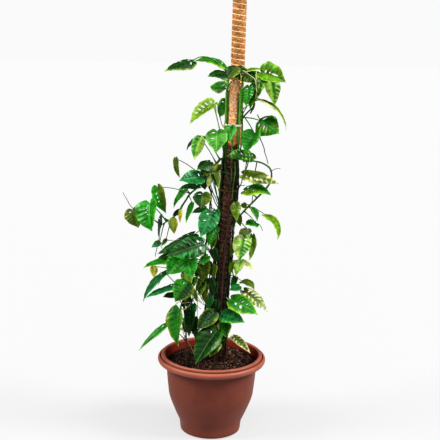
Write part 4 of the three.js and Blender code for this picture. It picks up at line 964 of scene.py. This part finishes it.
class Blade:
    """The curved sheet of one leaf: point(s, t) for s along the midrib and t across, -1 to 1."""

    def __init__(self, row):
        (self.heel_u, heel_v, heel_y, tip_u, tip_v, tip_y, self.wide, turn, self.fold, curl, self.holes,
         self.root_u, self.root_v, self.tone) = row[:14]
        self.rise = row[14] if len(row) > 14 else None
        self.key = (self.heel_u, heel_v)
        self.heel = sight(self.heel_u, heel_v, heel_y)
        tip = sight(tip_u, tip_v, tip_y)
        self.length = (tip - self.heel).length
        self.axis = (tip - self.heel).normalized()
        to_eye = EYE - self.heel
        to_eye = (to_eye - self.axis * to_eye.dot(self.axis)).normalized()
        side = self.axis.cross(to_eye)
        turn = math.radians(turn)
        self.face = to_eye * math.cos(turn) + side * math.sin(turn)
        self.across = self.axis.cross(self.face)
        self.curl = math.radians(curl)
        self.bend = self.length / (2 * math.sin(self.curl / 2))

    def point(self, s, t, lift=0.0):
        angle = self.curl * (s - 0.5)
        half = self.curl / 2
        at = (self.heel + self.axis * (self.bend * (math.sin(angle) + math.sin(half)))
              + self.face * (self.bend * (math.cos(angle) - math.cos(half))))
        normal = self.face * math.cos(angle) + self.axis * math.sin(angle)
        sign = (t > 0) - (t < 0)
        slope = math.radians(self.fold - DROOP * abs(t) / 2)
        lean = math.radians(self.fold - DROOP * abs(t))
        out = abs(t) * self.wide / 2 * LEAF_GROW
        wave = RUFFLE * self.wide / 60 * math.sin(9 * s + self.heel_u + 2 * sign) * t * t
        rise = out * math.sin(slope) + wave + lift * (math.cos(lean) if t else 1)
        return at + self.across * (sign * (out * math.cos(slope) - lift * math.sin(lean))) + normal * rise


def inside(point, loop):
    """Whether a closed loop goes round a point."""
    x, y = point
    found = False
    for (x0, y0), (x1, y1) in zip(loop, loop[1:] + loop[:1]):
        if (y0 > y) != (y1 > y) and x < x0 + (x1 - x0) * (y - y0) / (y1 - y0):
            found = not found
    return found


def slant(s, t):
    """How far along the midrib a vein through (s, t) has swept forward."""
    return abs(t) ** 1.3 * (0.06 + 0.2 * s)


def from_vein(q, t):
    """The station s on the vein q at t."""
    k = abs(t) ** 1.3
    return (q + 0.06 * k) / (1 - 0.2 * k)


def half_width(s, outline):
    """The largest t on the outline at station s."""
    best = 0.0
    for (s0, t0), (s1, t1) in zip(outline, outline[1:]):
        if min(s0, s1) <= s <= max(s0, s1) and s0 != s1:
            best = max(best, t0 + (t1 - t0) * (s - s0) / (s1 - s0))
    return best


def leaf_outline(half, rng):
    """The closed outline of a leaf, its two halves slightly unlike."""
    wobble = rng.uniform(0, 9)
    right = [(s, t * (1 + 0.03 * math.sin(17 * s + wobble))) for s, t in half]
    left = [(s, -t * (1 + 0.03 * math.sin(15 * s + 2 * wobble))) for s, t in half]
    return right + left[-2:0:-1]


def leaf_holes(leaf, half, rng):
    """The loops of a leaf's holes, each lying between two veins."""
    shapes = OWN_HOLES.get(leaf.key)
    if shapes is None:
        shapes = []
        for sign, q in HOLE_ORDER[:int(leaf.holes)]:
            inner, outer = rng.uniform(0.14, 0.22), rng.uniform(0.42, 0.6) * min(half_width(q, half), 1)
            shapes.append((q, sign * (inner + outer) / 2, rng.uniform(0.02, 0.03), (outer - inner) / 2))
    holes = []
    for q, middle, girth, reach in shapes:
        hole = []
        for angle in angles(HOLE_SIDES):
            t = middle + reach * math.cos(angle) * (1 if middle > 0 else -1)
            hole.append((from_vein(q + girth * math.sin(angle) * (1 - 0.25 * math.cos(angle)), t), t))
        holes.append(hole)
    return holes


def flat_blade(leaf, half, rng):
    """Corners (s, t) and triangles of the flat leaf, with its holes."""
    loop = leaf_outline(half, rng)
    holes = leaf_holes(leaf, half, rng)
    points, edges = loop_edges([loop, *holes])
    size = Vector((leaf.length, leaf.wide / 2))

    def within(point):
        return inside(point, loop) and not any(inside(point, hole) for hole in holes)

    ends = [Vector((s * size.x, t * size.y)) for s, t in points]
    rows = max(4, round(leaf.wide / 2 / LEAF_GRID))
    for i in range(-rows, rows + 1):
        t = i / rows
        for k in range(-8, 29):
            s = from_vein(k * (VEIN_PITCH / 4), t)
            at = Vector((s * size.x, t * size.y))
            if within((s, t)) and all((at - end).length > 1.5 for end in ends):
                points.append((s, t))
    flat = [Vector((s * size.x, t * size.y)) for s, t in points]
    corners, _, faces, _, _, _ = delaunay_2d_cdt(flat, edges, [], 0, 1e-4)
    corners = [(p.x / size.x, p.y / size.y) for p in corners]
    kept = []
    for face in faces:
        a, b, c = (corners[i] for i in face)
        if within(((a[0] + b[0] + c[0]) / 3, (a[1] + b[1] + c[1]) / 3)):
            turn = (b[0] - a[0]) * (c[1] - a[1]) - (b[1] - a[1]) * (c[0] - a[0])
            kept.append(tuple(face) if turn > 0 else tuple(reversed(face)))
    return corners, kept


def leaf_tint(leaf, s, t, ratio, phase):
    """The painted colour at (s, t).

    A tone may name another for its other half after |, for its margin after /, or for bands that
    follow the veins after ~.
    """
    tone = leaf.tone
    if "|" in tone:
        one, other = tone.split("|")
        tone = one if t > 0 else other
    tone, _, edge = tone.partition("/")
    tone, _, band = tone.partition("~")
    middle, margin = TONES[tone][0], TONES[edge or tone][1]
    patch = noise.noise(Vector((s * 3 + phase, t * 2.2, phase)))
    colour = blend(middle, margin, ramp(ratio + 0.25 * patch, 0.68, 1.04))
    if band:
        q = (s - slant(s, t)) / VEIN_PITCH
        stripe = ramp(0.5 - 0.5 * math.cos(2 * math.pi * q) + 0.7 * patch, 0.35, 0.8) * ramp(ratio, 0.12, 0.4)
        stripe *= ramp(noise.noise(Vector((s * 2.4, t * 1.6, phase + 5))), -0.32, 0.12)
        colour = blend(colour, TONES[band][1], stripe)
    return colour


def add_leaf(build, leaf, rng):
    """The two sides of a leaf, with its veins, ripples and holes, and the rims that join them."""
    half = smooth_flat(HALF_OUTLINE, 3)
    corners, faces = flat_blade(leaf, half, rng)
    phase = rng.uniform(0, 20)
    scale = min(leaf.wide / 60, 1.1)
    upper, lower = [], []
    for s, t in corners:
        ratio = min(abs(t) / max(half_width(s, half), 0.04), 1)
        q = (s - slant(s, t)) / VEIN_PITCH
        bulge = math.sin(math.pi * q) ** 2 * ramp(abs(t), 0.03, 0.25) * (1 - ramp(ratio, 0.75, 1))
        relief = (1.5 * bulge - 0.5) * scale + 0.5 * scale * noise.noise(Vector((s * 9, t * 7, phase)))
        ripple = 0.7 * scale * math.sin(34 * s + phase + (1 if t > 0 else 3)) * ramp(ratio, 0.6, 1)
        rib = math.exp(-((t * leaf.wide / 2) / 1.3) ** 2) * (1 - 0.7 * max(s, 0))
        thick = LEAF_THICK * (1 - 0.35 * ramp(ratio, 0.8, 1)) / 2
        colour = leaf_tint(leaf, s, t, ratio, phase)
        top = leaf.point(s, t, thick + relief + ripple - 0.35 * rib)
        bottom = leaf.point(s, t, -thick + relief + ripple - 1.1 * rib)
        upper.append(build.corner(top, (*colour, 0), (s, t, ratio)))
        lower.append(build.corner(bottom, (*colour, 1), (s, t, ratio)))
    for a, b, c in faces:
        build.face((upper[a], upper[b], upper[c]))
        build.face((lower[c], lower[b], lower[a]))
    sides = [side for a, b, c in faces for side in ((a, b), (b, c), (c, a))]
    known = set(sides)
    for a, b in sides:
        if (b, a) not in known:
            build.face((upper[b], upper[a], lower[a], lower[b]))
            build.rims.add(tuple(sorted((upper[a], upper[b]))))
            build.rims.add(tuple(sorted((lower[a], lower[b]))))


# Stems


def nearest(path, u, v):
    """The point of a path that the view shows nearest to u, v."""
    def away(point):
        pu, pv = seen(point)
        return (pu - u) ** 2 + (pv - v) ** 2
    return min(path, key=away)


def stem_tint(name, point):
    """Green above, dark further down, mostly as painted shade inside the plant, and brown near the soil."""
    # Further down: near black, painted shade inside the plant, but bark brown on the front stem.
    below = "bark" if name == "vine_front" else "low"
    # The branch and loop take the painted shade green above.
    above = "shade" if name in ("vine_branch", "vine_loop") else "green"
    colour = STEM_TONES["buried"]
    for tone in (below, above):
        colour = blend(colour, STEM_TONES[tone], ramp(point.z, *STEM_TURNS[tone]))
    return colour


def add_petiole(build, name, leaf, path):
    """The stalk of a leaf, from its stem in a bow to the heel of the blade."""
    root = nearest(path, leaf.root_u, leaf.root_v)
    end = leaf.point(0.02, 0, -0.6)
    middle = root.lerp(end, 0.6)
    middle.z += PETIOLE_RISE * (root - end).length if leaf.rise is None else leaf.rise
    steps = max(8, round((end - root).length / 6))
    line = bow(root, middle, end, steps) + [leaf.point(0.12, 0, -0.7)]
    size = 1.85 if leaf.wide >= LARGE_LEAF else 1.5

    def radius(k, run):
        sheath = 0.8 * (1 - ramp(k, 0, 0.2))
        knee = 0.35 * math.exp(-((k - 0.93) / 0.04) ** 2)
        return size * (1 - 0.25 * k + sheath + knee) * (0.35 if k > 0.99 else 1)

    tone = leaf.tone.replace("~", "|").replace("/", "|").split("|")[0]
    base = blend(STEM_TONES["petiole"], TONES[tone][0], 0.5)
    low = stem_tint(name, root)
    build.tube(line, radius, 7, lambda point, k: blend(low, base, ramp(k, 0, 0.3)))


def add_stem(build, name, radius, path, rng):
    """A stem with a swollen joint every so often."""
    knots = [rng.uniform(0.9, 1.1) for _ in range(80)]

    def size(k, run):
        i = run / JOINT_STEP
        at = (i % 1 - 0.5) * JOINT_STEP
        swell = 0.22 * math.exp(-(at / 2.6) ** 2) * knots[int(i) % 80]
        return radius * (1 + swell - 0.05 * knots[(int(i) + 7) % 80]) * (1 - 0.35 * ramp(k, 0.9, 1))

    build.tube(evenly(path, 3.5), size, 12, lambda point, k: stem_tint(name, point))


def rows_of(table, name):
    """The words of each line that a table has for a stem."""
    return [line.split() for line in table.get(name, "").strip().splitlines()]


def number_or_word(word):
    """A word of a table as a number, or a tone as it is."""
    return word if word[0].isalpha() else float(word)


def add_strand(build, thin, colour, values, hug):
    """A bare side stem or tendril; it hugs the pole or wanders a little."""
    points = [tuple(values[i:i + 3]) for i in range(0, len(values), 3)]
    way = [place(point, thin) if hug else sight(*point) for point in points]
    phase = values[0] + values[1]
    line = []
    for point in evenly(smooth(way, 8), 3):
        line.append(point + noise.noise_vector(Vector((phase, 0, point.z / 16))) * (0 if hug else 1.8))

    def radius(k, run):
        return thin * (1 - 0.35 * k) * (1 + 0.16 * noise.noise(Vector((run / 9, phase, 0))))

    def tint(point, k):
        return blend(colour, STEM_TONES["low"], 0.3 + 0.5 * noise.noise(Vector((point.z / 14, phase, 3))))

    build.tube(line, radius, 7, tint)


def add_rootlets(build, bearing, sweep, count, rng):
    """Short clinging roots, from a stem at one side of the front pole round towards its front."""
    for _ in range(count):
        z = rng.uniform(300, 930)
        turn = sweep * rng.uniform(0.4, 1)
        drop = rng.uniform(-22, 10)
        thin = rng.uniform(0.5, 0.95)
        way = [place((z + drop * k, bearing + turn * k, 0.4 + 2.2 * (1 - k) + rng.uniform(-0.3, 0.5)), thin)
               for k in (0, 0.35, 0.7, 1)]
        colour = blend(STEM_TONES["root"], STEM_TONES["low"], rng.uniform(0, 0.8))
        build.tube(evenly(smooth(way, 6), 3), taper(thin, 0.4), 5, plain(colour))


def make_vines(leaf_look, stem_look):
    """Each stem with its leaves, petioles, strands and roots."""
    noise.seed_set(STRAND_SEED)
    for number, (name, (radius, points)) in enumerate(STEMS.items()):
        rng = random.Random(400 + number)
        path = smooth([place(point, radius) for point in points], 12)
        leaves, stems = Build(), Build()
        add_stem(stems, name, radius, path, rng)
        for words in rows_of(LEAVES, name):
            leaf = Blade([number_or_word(word) for word in words])
            add_leaf(leaves, leaf, rng)
            add_petiole(stems, name, leaf, path)
        for table, hug in ((STRANDS, False), (CLIMBERS, True)):
            for thin, tone, *values in rows_of(table, name):
                add_strand(stems, float(thin), STEM_TONES[tone], [float(value) for value in values], hug)
        if name in ROOT_RUNS:
            add_rootlets(stems, *ROOT_RUNS[name], rng)
        piece(name + "_leaves", leaves, [leaf_look], name)
        piece(name + "_stems", stems, [stem_look], name)


# Poles


def pole_point(pole, z, angle, radius):
    """A point at an angle and a distance from a pole's axis."""
    return Vector((along(pole.axis, z) + radius * math.cos(angle), pole.y + radius * math.sin(angle), z))


def pole_tint(pole, point):
    """Pale dry coir above, on the front pole with painted light; dark below its rounded border."""
    x, z = point.x, point.z
    if pole.pale:
        return blend((0.46, 0.23, 0.09), (0.46, 0.222, 0.08), ramp(z, 1120, 1240))
    across = (x - along(pole.axis, z)) / pole.radius
    border = DARK_EDGE + 16 * across * across + 4 * noise.noise(Vector((x / 4, 0, 0)))
    # The front pole's upper coir is painted about twice as pale as the rear pole's, and paler still on its
    # rounded top: painted light against the shade of the leaves above it.
    dry = blend((0.95, 0.39, 0.155), (0.93, 0.5, 0.26), ramp(z, 985, 1040))
    dry = blend(dry, (1, 0.5, 0.23), ramp(z, 1085, 1125))
    # Below the border the front pole is dark, darker towards the bottom, and redder in patches and in a band.
    dark_low = blend((0.055, 0.035, 0.024), (0.095, 0.048, 0.036), ramp(z, 480, 700))
    patch = noise.noise(Vector((x / 6, z / 8, 4)))
    red = 0.8 * ramp(patch, 0.0, 0.4) * ramp(z, 420, 600)
    red = max(red, math.exp(-((z - RED_BAND) / 20) ** 4) * ramp(patch, -0.4, 0.1))
    dark_low = blend(dark_low, (0.24, 0.09, 0.065), red)
    return blend(dark_low, dry, ramp(z, border - 3, border + 3))


def cord_tint(pole, z):
    """Pale where the pole is dry, paler still on the front pole as painted light, and reddish brown below."""
    if pole.pale:
        return CORD_PALE
    # Below the border the cord is reddish brown, darker lower down.
    cord_low = blend((0.2, 0.13, 0.1), (0.4, 0.25, 0.2), ramp(z, 420, 640))
    # Above the border the front pole's cord is painted paler than the rear pole's: painted light.
    return blend(cord_low, (1, 0.83, 0.6), ramp(z, 945, 990))


def from_cord(pole, z, angle):
    """Height above the nearest turn of the cord."""
    turn = (z - pole.foot - CORD_START) / CORD_PITCH + angle / (2 * math.pi)
    return (turn - round(turn)) * CORD_PITCH


def mat(pole, z, angle, seed):
    """How far the fibre stands out, pinched in by the cord."""
    at = spin(angle, pole.radius, z)
    rough = 0.9 * noise.noise(at / 5 + Vector((seed, 0, 0))) + 0.6 * noise.noise(at / 2.3)
    return rough - 0.9 * math.exp(-((from_cord(pole, z, angle) / 2.4) ** 2)) - 0.4


def fibre_tint(pole, point, angle, seed):
    """Coir with a paler line along each turn of the cord."""
    z = point.z
    deep = 0 if pole.pale else 1 - ramp(z, 940, 990)
    # Above the border the front pole's fibres are painted paler than the rear pole's, as painted light; below
    # it they vary more.
    low, vary = (0.72, 0.4) if pole.pale else (0.84 - 0.34 * deep, 0.3 + 0.55 * deep)
    shade = low + vary * ramp(noise.noise(Vector((angle * 2, z / 3.5, seed))), -0.5, 0.5)
    wrap = math.exp(-((from_cord(pole, z, angle) / 2.6) ** 2))
    wrap *= 0.4 if pole.pale else 0.4 + 0.6 * ramp(z, 952, 1000)
    wrap *= 1 - deep * ramp(noise.noise(Vector((angle * 3, z / 12, 9))), -0.2, 0.3)
    colour = tuple(c * shade for c in pole_tint(pole, point))
    return (*blend(colour, cord_tint(pole, z), wrap), 0)


def add_pole(build, pole, seed):
    """The sleeve of a pole, with its rounded top and the bore at its foot."""
    rings = round((pole.top - pole.foot) / POLE_STEP)
    rise = pole.top - pole.crown - pole.foot
    stations = [(1.0, pole.foot + rise * i / rings) for i in range(rings + 1)]
    stations += [(share, pole.top - pole.crown * depth - 0.5) for share, depth in CROWN]
    loops = []
    for share, z in stations:
        loop = []
        for angle in angles(POLE_SIDES):
            point = pole_point(pole, z, angle, (pole.radius + mat(pole, z, angle, seed)) * share)
            loop.append(build.corner(point, fibre_tint(pole, point, angle, seed)))
        loops.append(loop)
    for low, high in zip(loops, loops[1:]):
        build.bridge(low, high)
    build.face(tuple(loops[-1]))
    edge = loops[0]
    for z in (pole.foot, pole.foot + BORE_DEPTH):
        ring = [pole_point(pole, z, angle, BORE_RADIUS) for angle in angles(POLE_SIDES)]
        bore = [build.corner(point, (*pole_tint(pole, point), 0)) for point in ring]
        build.bridge(bore, edge)
        edge = bore
    build.face(tuple(edge))


def add_cord(build, pole):
    """The cord wound round a pole."""
    turns = (pole.top - pole.foot - pole.crown - 8) / CORD_PITCH
    steps = round(turns * 22)
    line = []
    for i in range(steps + 1):
        angle = 2 * math.pi * turns * i / steps
        z = pole.foot + CORD_START + CORD_PITCH * angle / (2 * math.pi)
        radius = pole.radius - 0.35 + 0.3 * noise.noise(Vector((angle * 2, z / 9, 0)))
        line.append(pole_point(pole, z, -angle, radius))

    def tint(point, k):
        cord = cord_tint(pole, point.z)
        worn = 0.55 + 0.9 * noise.noise(Vector((point.x / 6, point.z / 9, 2)))
        return cord if pole.pale else blend(pole_tint(pole, point), cord, min(max(worn, 0.1), 1))

    build.tube(line, taper(1.2, 0), 5, tint, 1)


def add_fibres(build, pole, rng):
    """Loose ends of fibre that stand off a pole."""
    for _ in range(FIBRES):
        z = rng.uniform(pole.foot + 4, pole.top - pole.crown)
        angle = rng.uniform(0, 2 * math.pi)
        out = spin(angle)
        start = pole_point(pole, z, angle, pole.radius - 0.9)
        lean = rng.uniform(-1, 1)
        way = (Vector((-out.y, out.x, 0)) * lean + Vector((0, 0, rng.uniform(-0.9, 0.9)))).normalized()
        length = rng.uniform(3, 9)
        lift = rng.uniform(0.4, 2.2)
        middle = start + way * (length * 0.5) + out * lift
        end = start + way * length + out * (lift * rng.uniform(0.1, 1.3))
        bright = rng.uniform(0.7, 1.7)
        colour = tuple(min(1, c * bright) for c in pole_tint(pole, start))
        build.tube([start, middle, end], taper(0.22, 0.5), 3, plain(colour))


def make_poles(coir, cord, wood):
    for name, pole in POLES.items():
        rng = random.Random(len(name))
        build = Build()
        add_pole(build, pole, rng.uniform(0, 50))
        add_cord(build, pole)
        add_fibres(build, pole, rng)
        piece(name.replace("coir", "sleeve"), build, [coir, cord], name)
    for name in ("pole_stake", "rear_pole_stake"):
        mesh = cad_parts[name].data
        mesh.materials.clear()
        mesh.materials.append(wood)


# Ties


def bundle(z):
    """The rounds (x, y, radius) that a tie at height z goes round: the poles and the stems beside them."""
    rounds = [(along(pole.axis, z), pole.y, pole.radius) for pole in POLES.values() if z > pole.foot]
    for radius, points in STEMS.values():
        heights = [point[0] for point in points if not isinstance(point[0], str)]
        if any(a <= z < b for a, b in zip(heights, heights[1:])):
            path = smooth([place(point, radius) for point in points], 3)
            i = next(i for i, point in enumerate(path) if point.z > z)
            low, high = path[i - 1], path[i]
            at = low.lerp(high, (z - low.z) / (high.z - low.z))
            rounds.append((at.x, at.y, radius + 0.9))
    return rounds


def tie_line(z, margin, sides):
    """Points round the bundle at height z, at a margin from it."""
    rounds = bundle(z)
    line = []
    for angle in angles(sides):
        out_x, out_y = math.cos(angle), math.sin(angle)
        x, y, r = max(rounds, key=lambda one: one[0] * out_x + one[1] * out_y + one[2])
        line.append(Vector((x + (r + margin) * out_x, y + (r + margin) * out_y, z)))
    return line


def make_ties(look):
    for name, z in TIE_HEIGHTS.items():
        build = Build()
        rings = []
        for i, (inner, outer) in enumerate(zip(tie_line(z, 0.5, TIE_SIDES), tie_line(z, 2.0, TIE_SIDES))):
            sag = 0.9 * noise.noise(Vector((i / 9, z, 0)))
            pinch = 1 - 0.12 * noise.noise(Vector((i / 4, z, 7)))
            section = [inner.lerp(outer, k) + Vector((0, 0, h * pinch + sag)) for k, h in TIE_SECTION]
            rings.append([build.corner(point, TIE_TINTS[name]) for point in section])
        for ring, after in zip(rings, rings[1:] + rings[:1]):
            build.bridge(ring, after)
        if name == "tie_upper":
            add_knot(build, z)
        tidy(piece(name + "_band", build, [look], name))


def add_knot(build, z):
    """A tie's knot and its two loose ends."""
    out = spin(math.radians(KNOT_BEARING))
    beside = Vector((-out.y, out.x, 0))
    centre = tie_line(z, 2.1, KNOT_SIDES)[round(KNOT_SIDES * (1 + KNOT_BEARING / 360))] + out * 1.8
    loop = []
    for angle in (*angles(KNOT_SIDES), 2 * math.pi):
        loop.append(centre + Vector((0, 0, 3.2 * math.sin(angle))) + beside * (2.2 * math.cos(angle))
                    + out * (1.1 * math.sin(2 * angle)))
    build.tube(loop, taper(1.5, 0), 7, plain((1, 1, 1)))
    for drift, drop in ((-9, 9), (-4, 15)):
        end = centre + Vector((drift, -3, -drop))
        tail = bow(centre, centre.lerp(end, 0.5) + out * 3, end, 8)
        build.tube(tail, lambda k, run: 1.15 - 0.25 * k, 6, plain((1, 1, 1)))


# Pot and soil


def add_plate(build, radius, z, up):
    """A flat disc at height z with the drain holes through it; returns the loops round the holes."""
    centres = circle(0, 0, DRAIN_CIRCLE, DRAIN_HOLES)
    holes = [circle(x, y, DRAIN_RADIUS, DRAIN_SIDES) for x, y in centres]
    points, edges = loop_edges([circle(0, 0, radius, POT_SIDES), *holes])
    corners, _, faces, _, _, _ = delaunay_2d_cdt([Vector(point) for point in points], edges, [], 0, 1e-4)
    base = [build.corner(Vector((p.x, p.y, z))) for p in corners]
    for face in faces:
        middle = sum((corners[i] for i in face), Vector((0, 0))) / 3
        if all((middle - Vector(centre)).length > DRAIN_RADIUS * 0.95 for centre in centres):
            build.face(tuple(base[i] for i in (face if up else reversed(face))))
    starts = range(POT_SIDES, len(points), DRAIN_SIDES)
    return [base[first:first + DRAIN_SIDES] for first in starts]


def pot_tint(point):
    """Deep red-brown walls; the rim orange and paler as painted light; painted shade in the rim's groove."""
    r, z = math.hypot(point.x, point.y), point.z
    if r < 153 and POT_FLOOR < z and r < along(POT_WALL, z) - 2.5:
        return (0.2, 0.025, 0.01)
    # The rim is painted paler than the walls: painted light on its upper faces.
    colour = blend((0.168, 0.048, 0.031), (0.285, 0.098, 0.062), ramp(z, 228, 238))
    # A dark line round the groove: painted shade.
    groove = 0.85 * math.exp(-((r - GROOVE_RADIUS) / 1.1) ** 2) if z > 248 else 0
    return blend(colour, (0.07, 0.02, 0.014), groove)


def make_pot(look):
    """The turned wall, and the floor with its drain holes."""
    build = Build()
    profile = list(POT_FOOT)
    for r, z in smooth_flat(POT_OUTSIDE + POT_RIM + POT_INSIDE, 4):
        rings = sum(0.45 * math.exp(-((z - at) / 1.6) ** 2) for at in MOULD_RINGS)
        profile.append((r + (rings if r < 146 and z < 226 else 0), z))
    profile += [(93, 7), (FLOOR_RADIUS, POT_FLOOR)]
    build.lathe(profile, POT_SIDES, pot_tint)
    under = add_plate(build, BASE_RADIUS, 0, False)
    over = add_plate(build, FLOOR_RADIUS, POT_FLOOR, True)
    for below, above in zip(under, over):
        build.bridge(above, below)
    tidy(piece("pot_body", build, [look], "pot"), 1e-6)


def ground(x, y):
    """How high the soil stands over its level: a mound at the poles, lumps, and a fall at the edge."""
    away = math.hypot(x - 26, y - 6)
    lumps = 1.8 * math.sin(x / 9 + 2 * math.sin(y / 17)) + 1.6 * math.sin(y / 8 + 1.7 * math.sin(x / 13))
    return MOUND_HEIGHT * math.exp(-((away / MOUND_SPREAD) ** 2)) + lumps - 5 * (math.hypot(x, y) / 140) ** 4


def soil_height(x, y):
    """The height of the rough soil at x, y."""
    at = Vector((x, y, 0))
    rough = 3.2 * noise.noise(at / 13) + 2.2 * noise.noise(at / 5) + 1.3 * noise.noise(at / 2.4)
    return SOIL_LEVEL + ground(x, y) + rough


def make_soil(look):
    """The bed of soil with its crumbs and dead roots."""
    rng = random.Random(71)
    build = Build()
    inside_up = POT_INSIDE[::-1]
    edge = along([(z, r) for r, z in inside_up], SOIL_LEVEL) - SOIL_GAP
    profile = [(0, SOIL_FLOOR), (BASE_RADIUS, SOIL_FLOOR)]
    profile += [(r - SOIL_GAP, z) for r, z in inside_up]
    profile += [(edge * (1 - i / SOIL_RINGS), SOIL_LEVEL) for i in range(SOIL_RINGS + 1)]

    def settle(point):
        if point.z < SOIL_LEVEL - 0.5 or math.hypot(point.x, point.y) > edge - 0.2:
            return point
        return Vector((point.x, point.y, soil_height(point.x, point.y)))

    build.lathe(profile, SOIL_SIDES, lambda point: SOIL_TINT, settle)
    for _ in range(CRUMBS):
        reach = edge * 0.98 * math.sqrt(rng.random())
        angle = rng.uniform(0, 2 * math.pi)
        x, y = reach * math.cos(angle), reach * math.sin(angle)
        size = rng.choice(CRUMB_SIZES)
        kind = rng.random() + 0.12 * ramp(x, -40, 60)
        colour = next(colour for share, colour in CRUMB_TINTS if kind < share)
        add_crumb(build, Vector((x, y, soil_height(x, y) + size * 0.35)), size, rng, (*colour, 0))
    for _ in range(DEAD_ROOTS):
        x, y = rng.gauss(30, 42), rng.gauss(-8, 42)
        if math.hypot(x, y) < edge - 24:
            add_dead_root(build, x, y, rng)
    tidy(piece("soil_bed", build, [look], "soil"))


def add_dead_root(build, x, y, rng):
    """A thin dry root lying over the soil."""
    heading = rng.uniform(0, 2 * math.pi)
    bend = rng.uniform(-0.09, 0.09)
    line = []
    for _ in range(rng.randint(5, 11)):
        line.append(Vector((x, y, soil_height(x, y) + 1.1)))
        x += 2.6 * math.cos(heading)
        y += 2.6 * math.sin(heading)
        heading += bend + rng.uniform(-0.2, 0.2)
    thin = rng.uniform(0.5, 1.1)
    bright = rng.uniform(0.4, 1.3)
    build.tube(line, taper(thin, 0.4), 5, plain((0.17 * bright, 0.085 * bright, 0.055 * bright)))


def add_crumb(build, centre, size, rng, tint):
    """A small uneven crumb: an octahedron split once and pushed out of round."""
    turn = Matrix.Rotation(rng.uniform(0, 6.3), 3, Vector((rng.random(), rng.random(), 1)).normalized())
    stretch = Vector((rng.uniform(0.9, 2.3), rng.uniform(0.6, 1.0), rng.uniform(0.4, 0.8)))
    index = {}

    def at(p):
        key = tuple(round(c, 4) for c in p)
        if key not in index:
            bulk = size * rng.uniform(0.78, 1.15)
            index[key] = build.corner(centre + turn @ (p * stretch) * bulk, tint)
        return index[key]

    for face in OCTA_FACES:
        a, b, c = (OCTA[i] for i in face)
        ab, bc, ca = (a + b).normalized(), (b + c).normalized(), (c + a).normalized()
        for triangle in ((a, ab, ca), (ab, b, bc), (ca, bc, c), (ab, bc, ca)):
            build.face(tuple(at(p) for p in triangle))


def make_stalk(look):
    """The dry stalk and the two rolls of its curled head."""
    build = Build()
    path = smooth([place(point) for point in STALK_PATH], 8)

    def radius(k, run):
        return 1.8 * (1 - 0.35 * k) + 0.35 * noise.noise(Vector((run / 5, 3, 0)))

    def curl_tint(point, k):
        return blend(STALK_CREAM, STALK_TAN, 0.35 + 0.3 * math.sin(9 * k))

    build.tube(evenly(path, 2.5), radius, 9, lambda point, k: blend(STALK_TAN, STALK_CREAM, ramp(k, 0.7, 1)))
    for share, start, grow in ((1.0, 0.2, 0.0), (0.72, 1.9, 0.6)):
        roll = []
        for k in (i / 33 for i in range(34)):
            angle = start + 8.5 * k
            reach = (6.4 - 4.2 * k) * share
            offset = (reach * 1.15 * math.cos(angle), 2.2 * grow - 3 * k + 1, reach * 0.7 * math.sin(angle))
            roll.append(path[-1] + Vector(offset))
        build.tube(roll, lambda k, run: 1.5 * (1 - 0.5 * k) * share + 0.3, 7, curl_tint)
    tidy(piece("dry_stalk_curl", build, [look], "dry_stalk"))


# Stage


def make_floor():
    floor = bpy.data.meshes.new("floor")
    corners = [(x * FLOOR_HALF, y * FLOOR_HALF, 0) for x, y in ((-1, -1), (1, -1), (1, 1), (-1, 1))]
    floor.from_pydata(corners, [], [(0, 1, 2, 3)])
    material, _, surface = shader("floor", 0.1)
    surface.inputs["Roughness"].default_value = 0.9
    surface.inputs["Base Color"].default_value = (0.1, 0.1, 0.1, 1)
    surface.inputs["Emission Color"].default_value = (1, 1, 1, 1)
    surface.inputs["Emission Strength"].default_value = FLOOR_LIGHT
    floor.materials.append(material)
    obj = new_object("floor", floor)
    obj.location.z = -0.0005


def make_light():
    """An even backdrop, a weaker fill from all round, and four soft suns."""
    world = bpy.data.worlds.new("studio")
    bpy.context.scene.world = world
    world.use_nodes = True
    tree = world.node_tree
    backdrop = tree.nodes["Background"]
    backdrop.inputs[0].default_value = (1, 1, 1, 1)
    backdrop.inputs[1].default_value = BACKDROP_LIGHT
    fill = put(tree, "ShaderNodeBackground", {0: (0.95, 0.98, 1, 1), 1: FILL_LIGHT})
    ray = put(tree, "ShaderNodeLightPath").outputs["Is Camera Ray"]
    both = put(tree, "ShaderNodeMixShader", {0: ray, 1: fill.outputs[0], 2: backdrop.outputs[0]})
    tree.links.new(both.outputs[0], tree.nodes["World Output"].inputs["Surface"])
    for name, (azimuth, elevation, strength, spread) in SUNS.items():
        light = bpy.data.lights.new(name, "SUN")
        light.energy = strength
        light.angle = math.radians(spread)
        a, e = math.radians(azimuth), math.radians(elevation)
        back = Vector((math.sin(a) * math.cos(e), -math.cos(a) * math.cos(e), math.sin(e)))
        new_object(name, light).rotation_euler = (-back).to_track_quat("-Z", "Y").to_euler()


def make_camera():
    data = bpy.data.cameras.new("camera")
    data.sensor_width = SENSOR
    data.lens = FOCAL * SENSOR / FRAME_SIZE
    data.clip_start, data.clip_end = 0.05, 60
    camera = new_object("camera", data)
    turn = Matrix((VIEW_RIGHT, VIEW_UP, -AHEAD)).transposed()
    camera.matrix_world = Matrix.Translation(EYE * MM) @ turn.to_4x4()
    bpy.context.scene.camera = camera


bpy.context.scene.view_settings.view_transform = "Standard"
bpy.context.scene.view_settings.look = "High Contrast"
make_camera()
make_floor()
make_light()
make_pot(pot_material())
make_soil(soil_material())
make_poles(coir_material("coir"), coir_material("cord"), wood_material())
make_ties(tie_material())
make_stalk(dry_material())
make_vines(leaf_material(), stem_material())
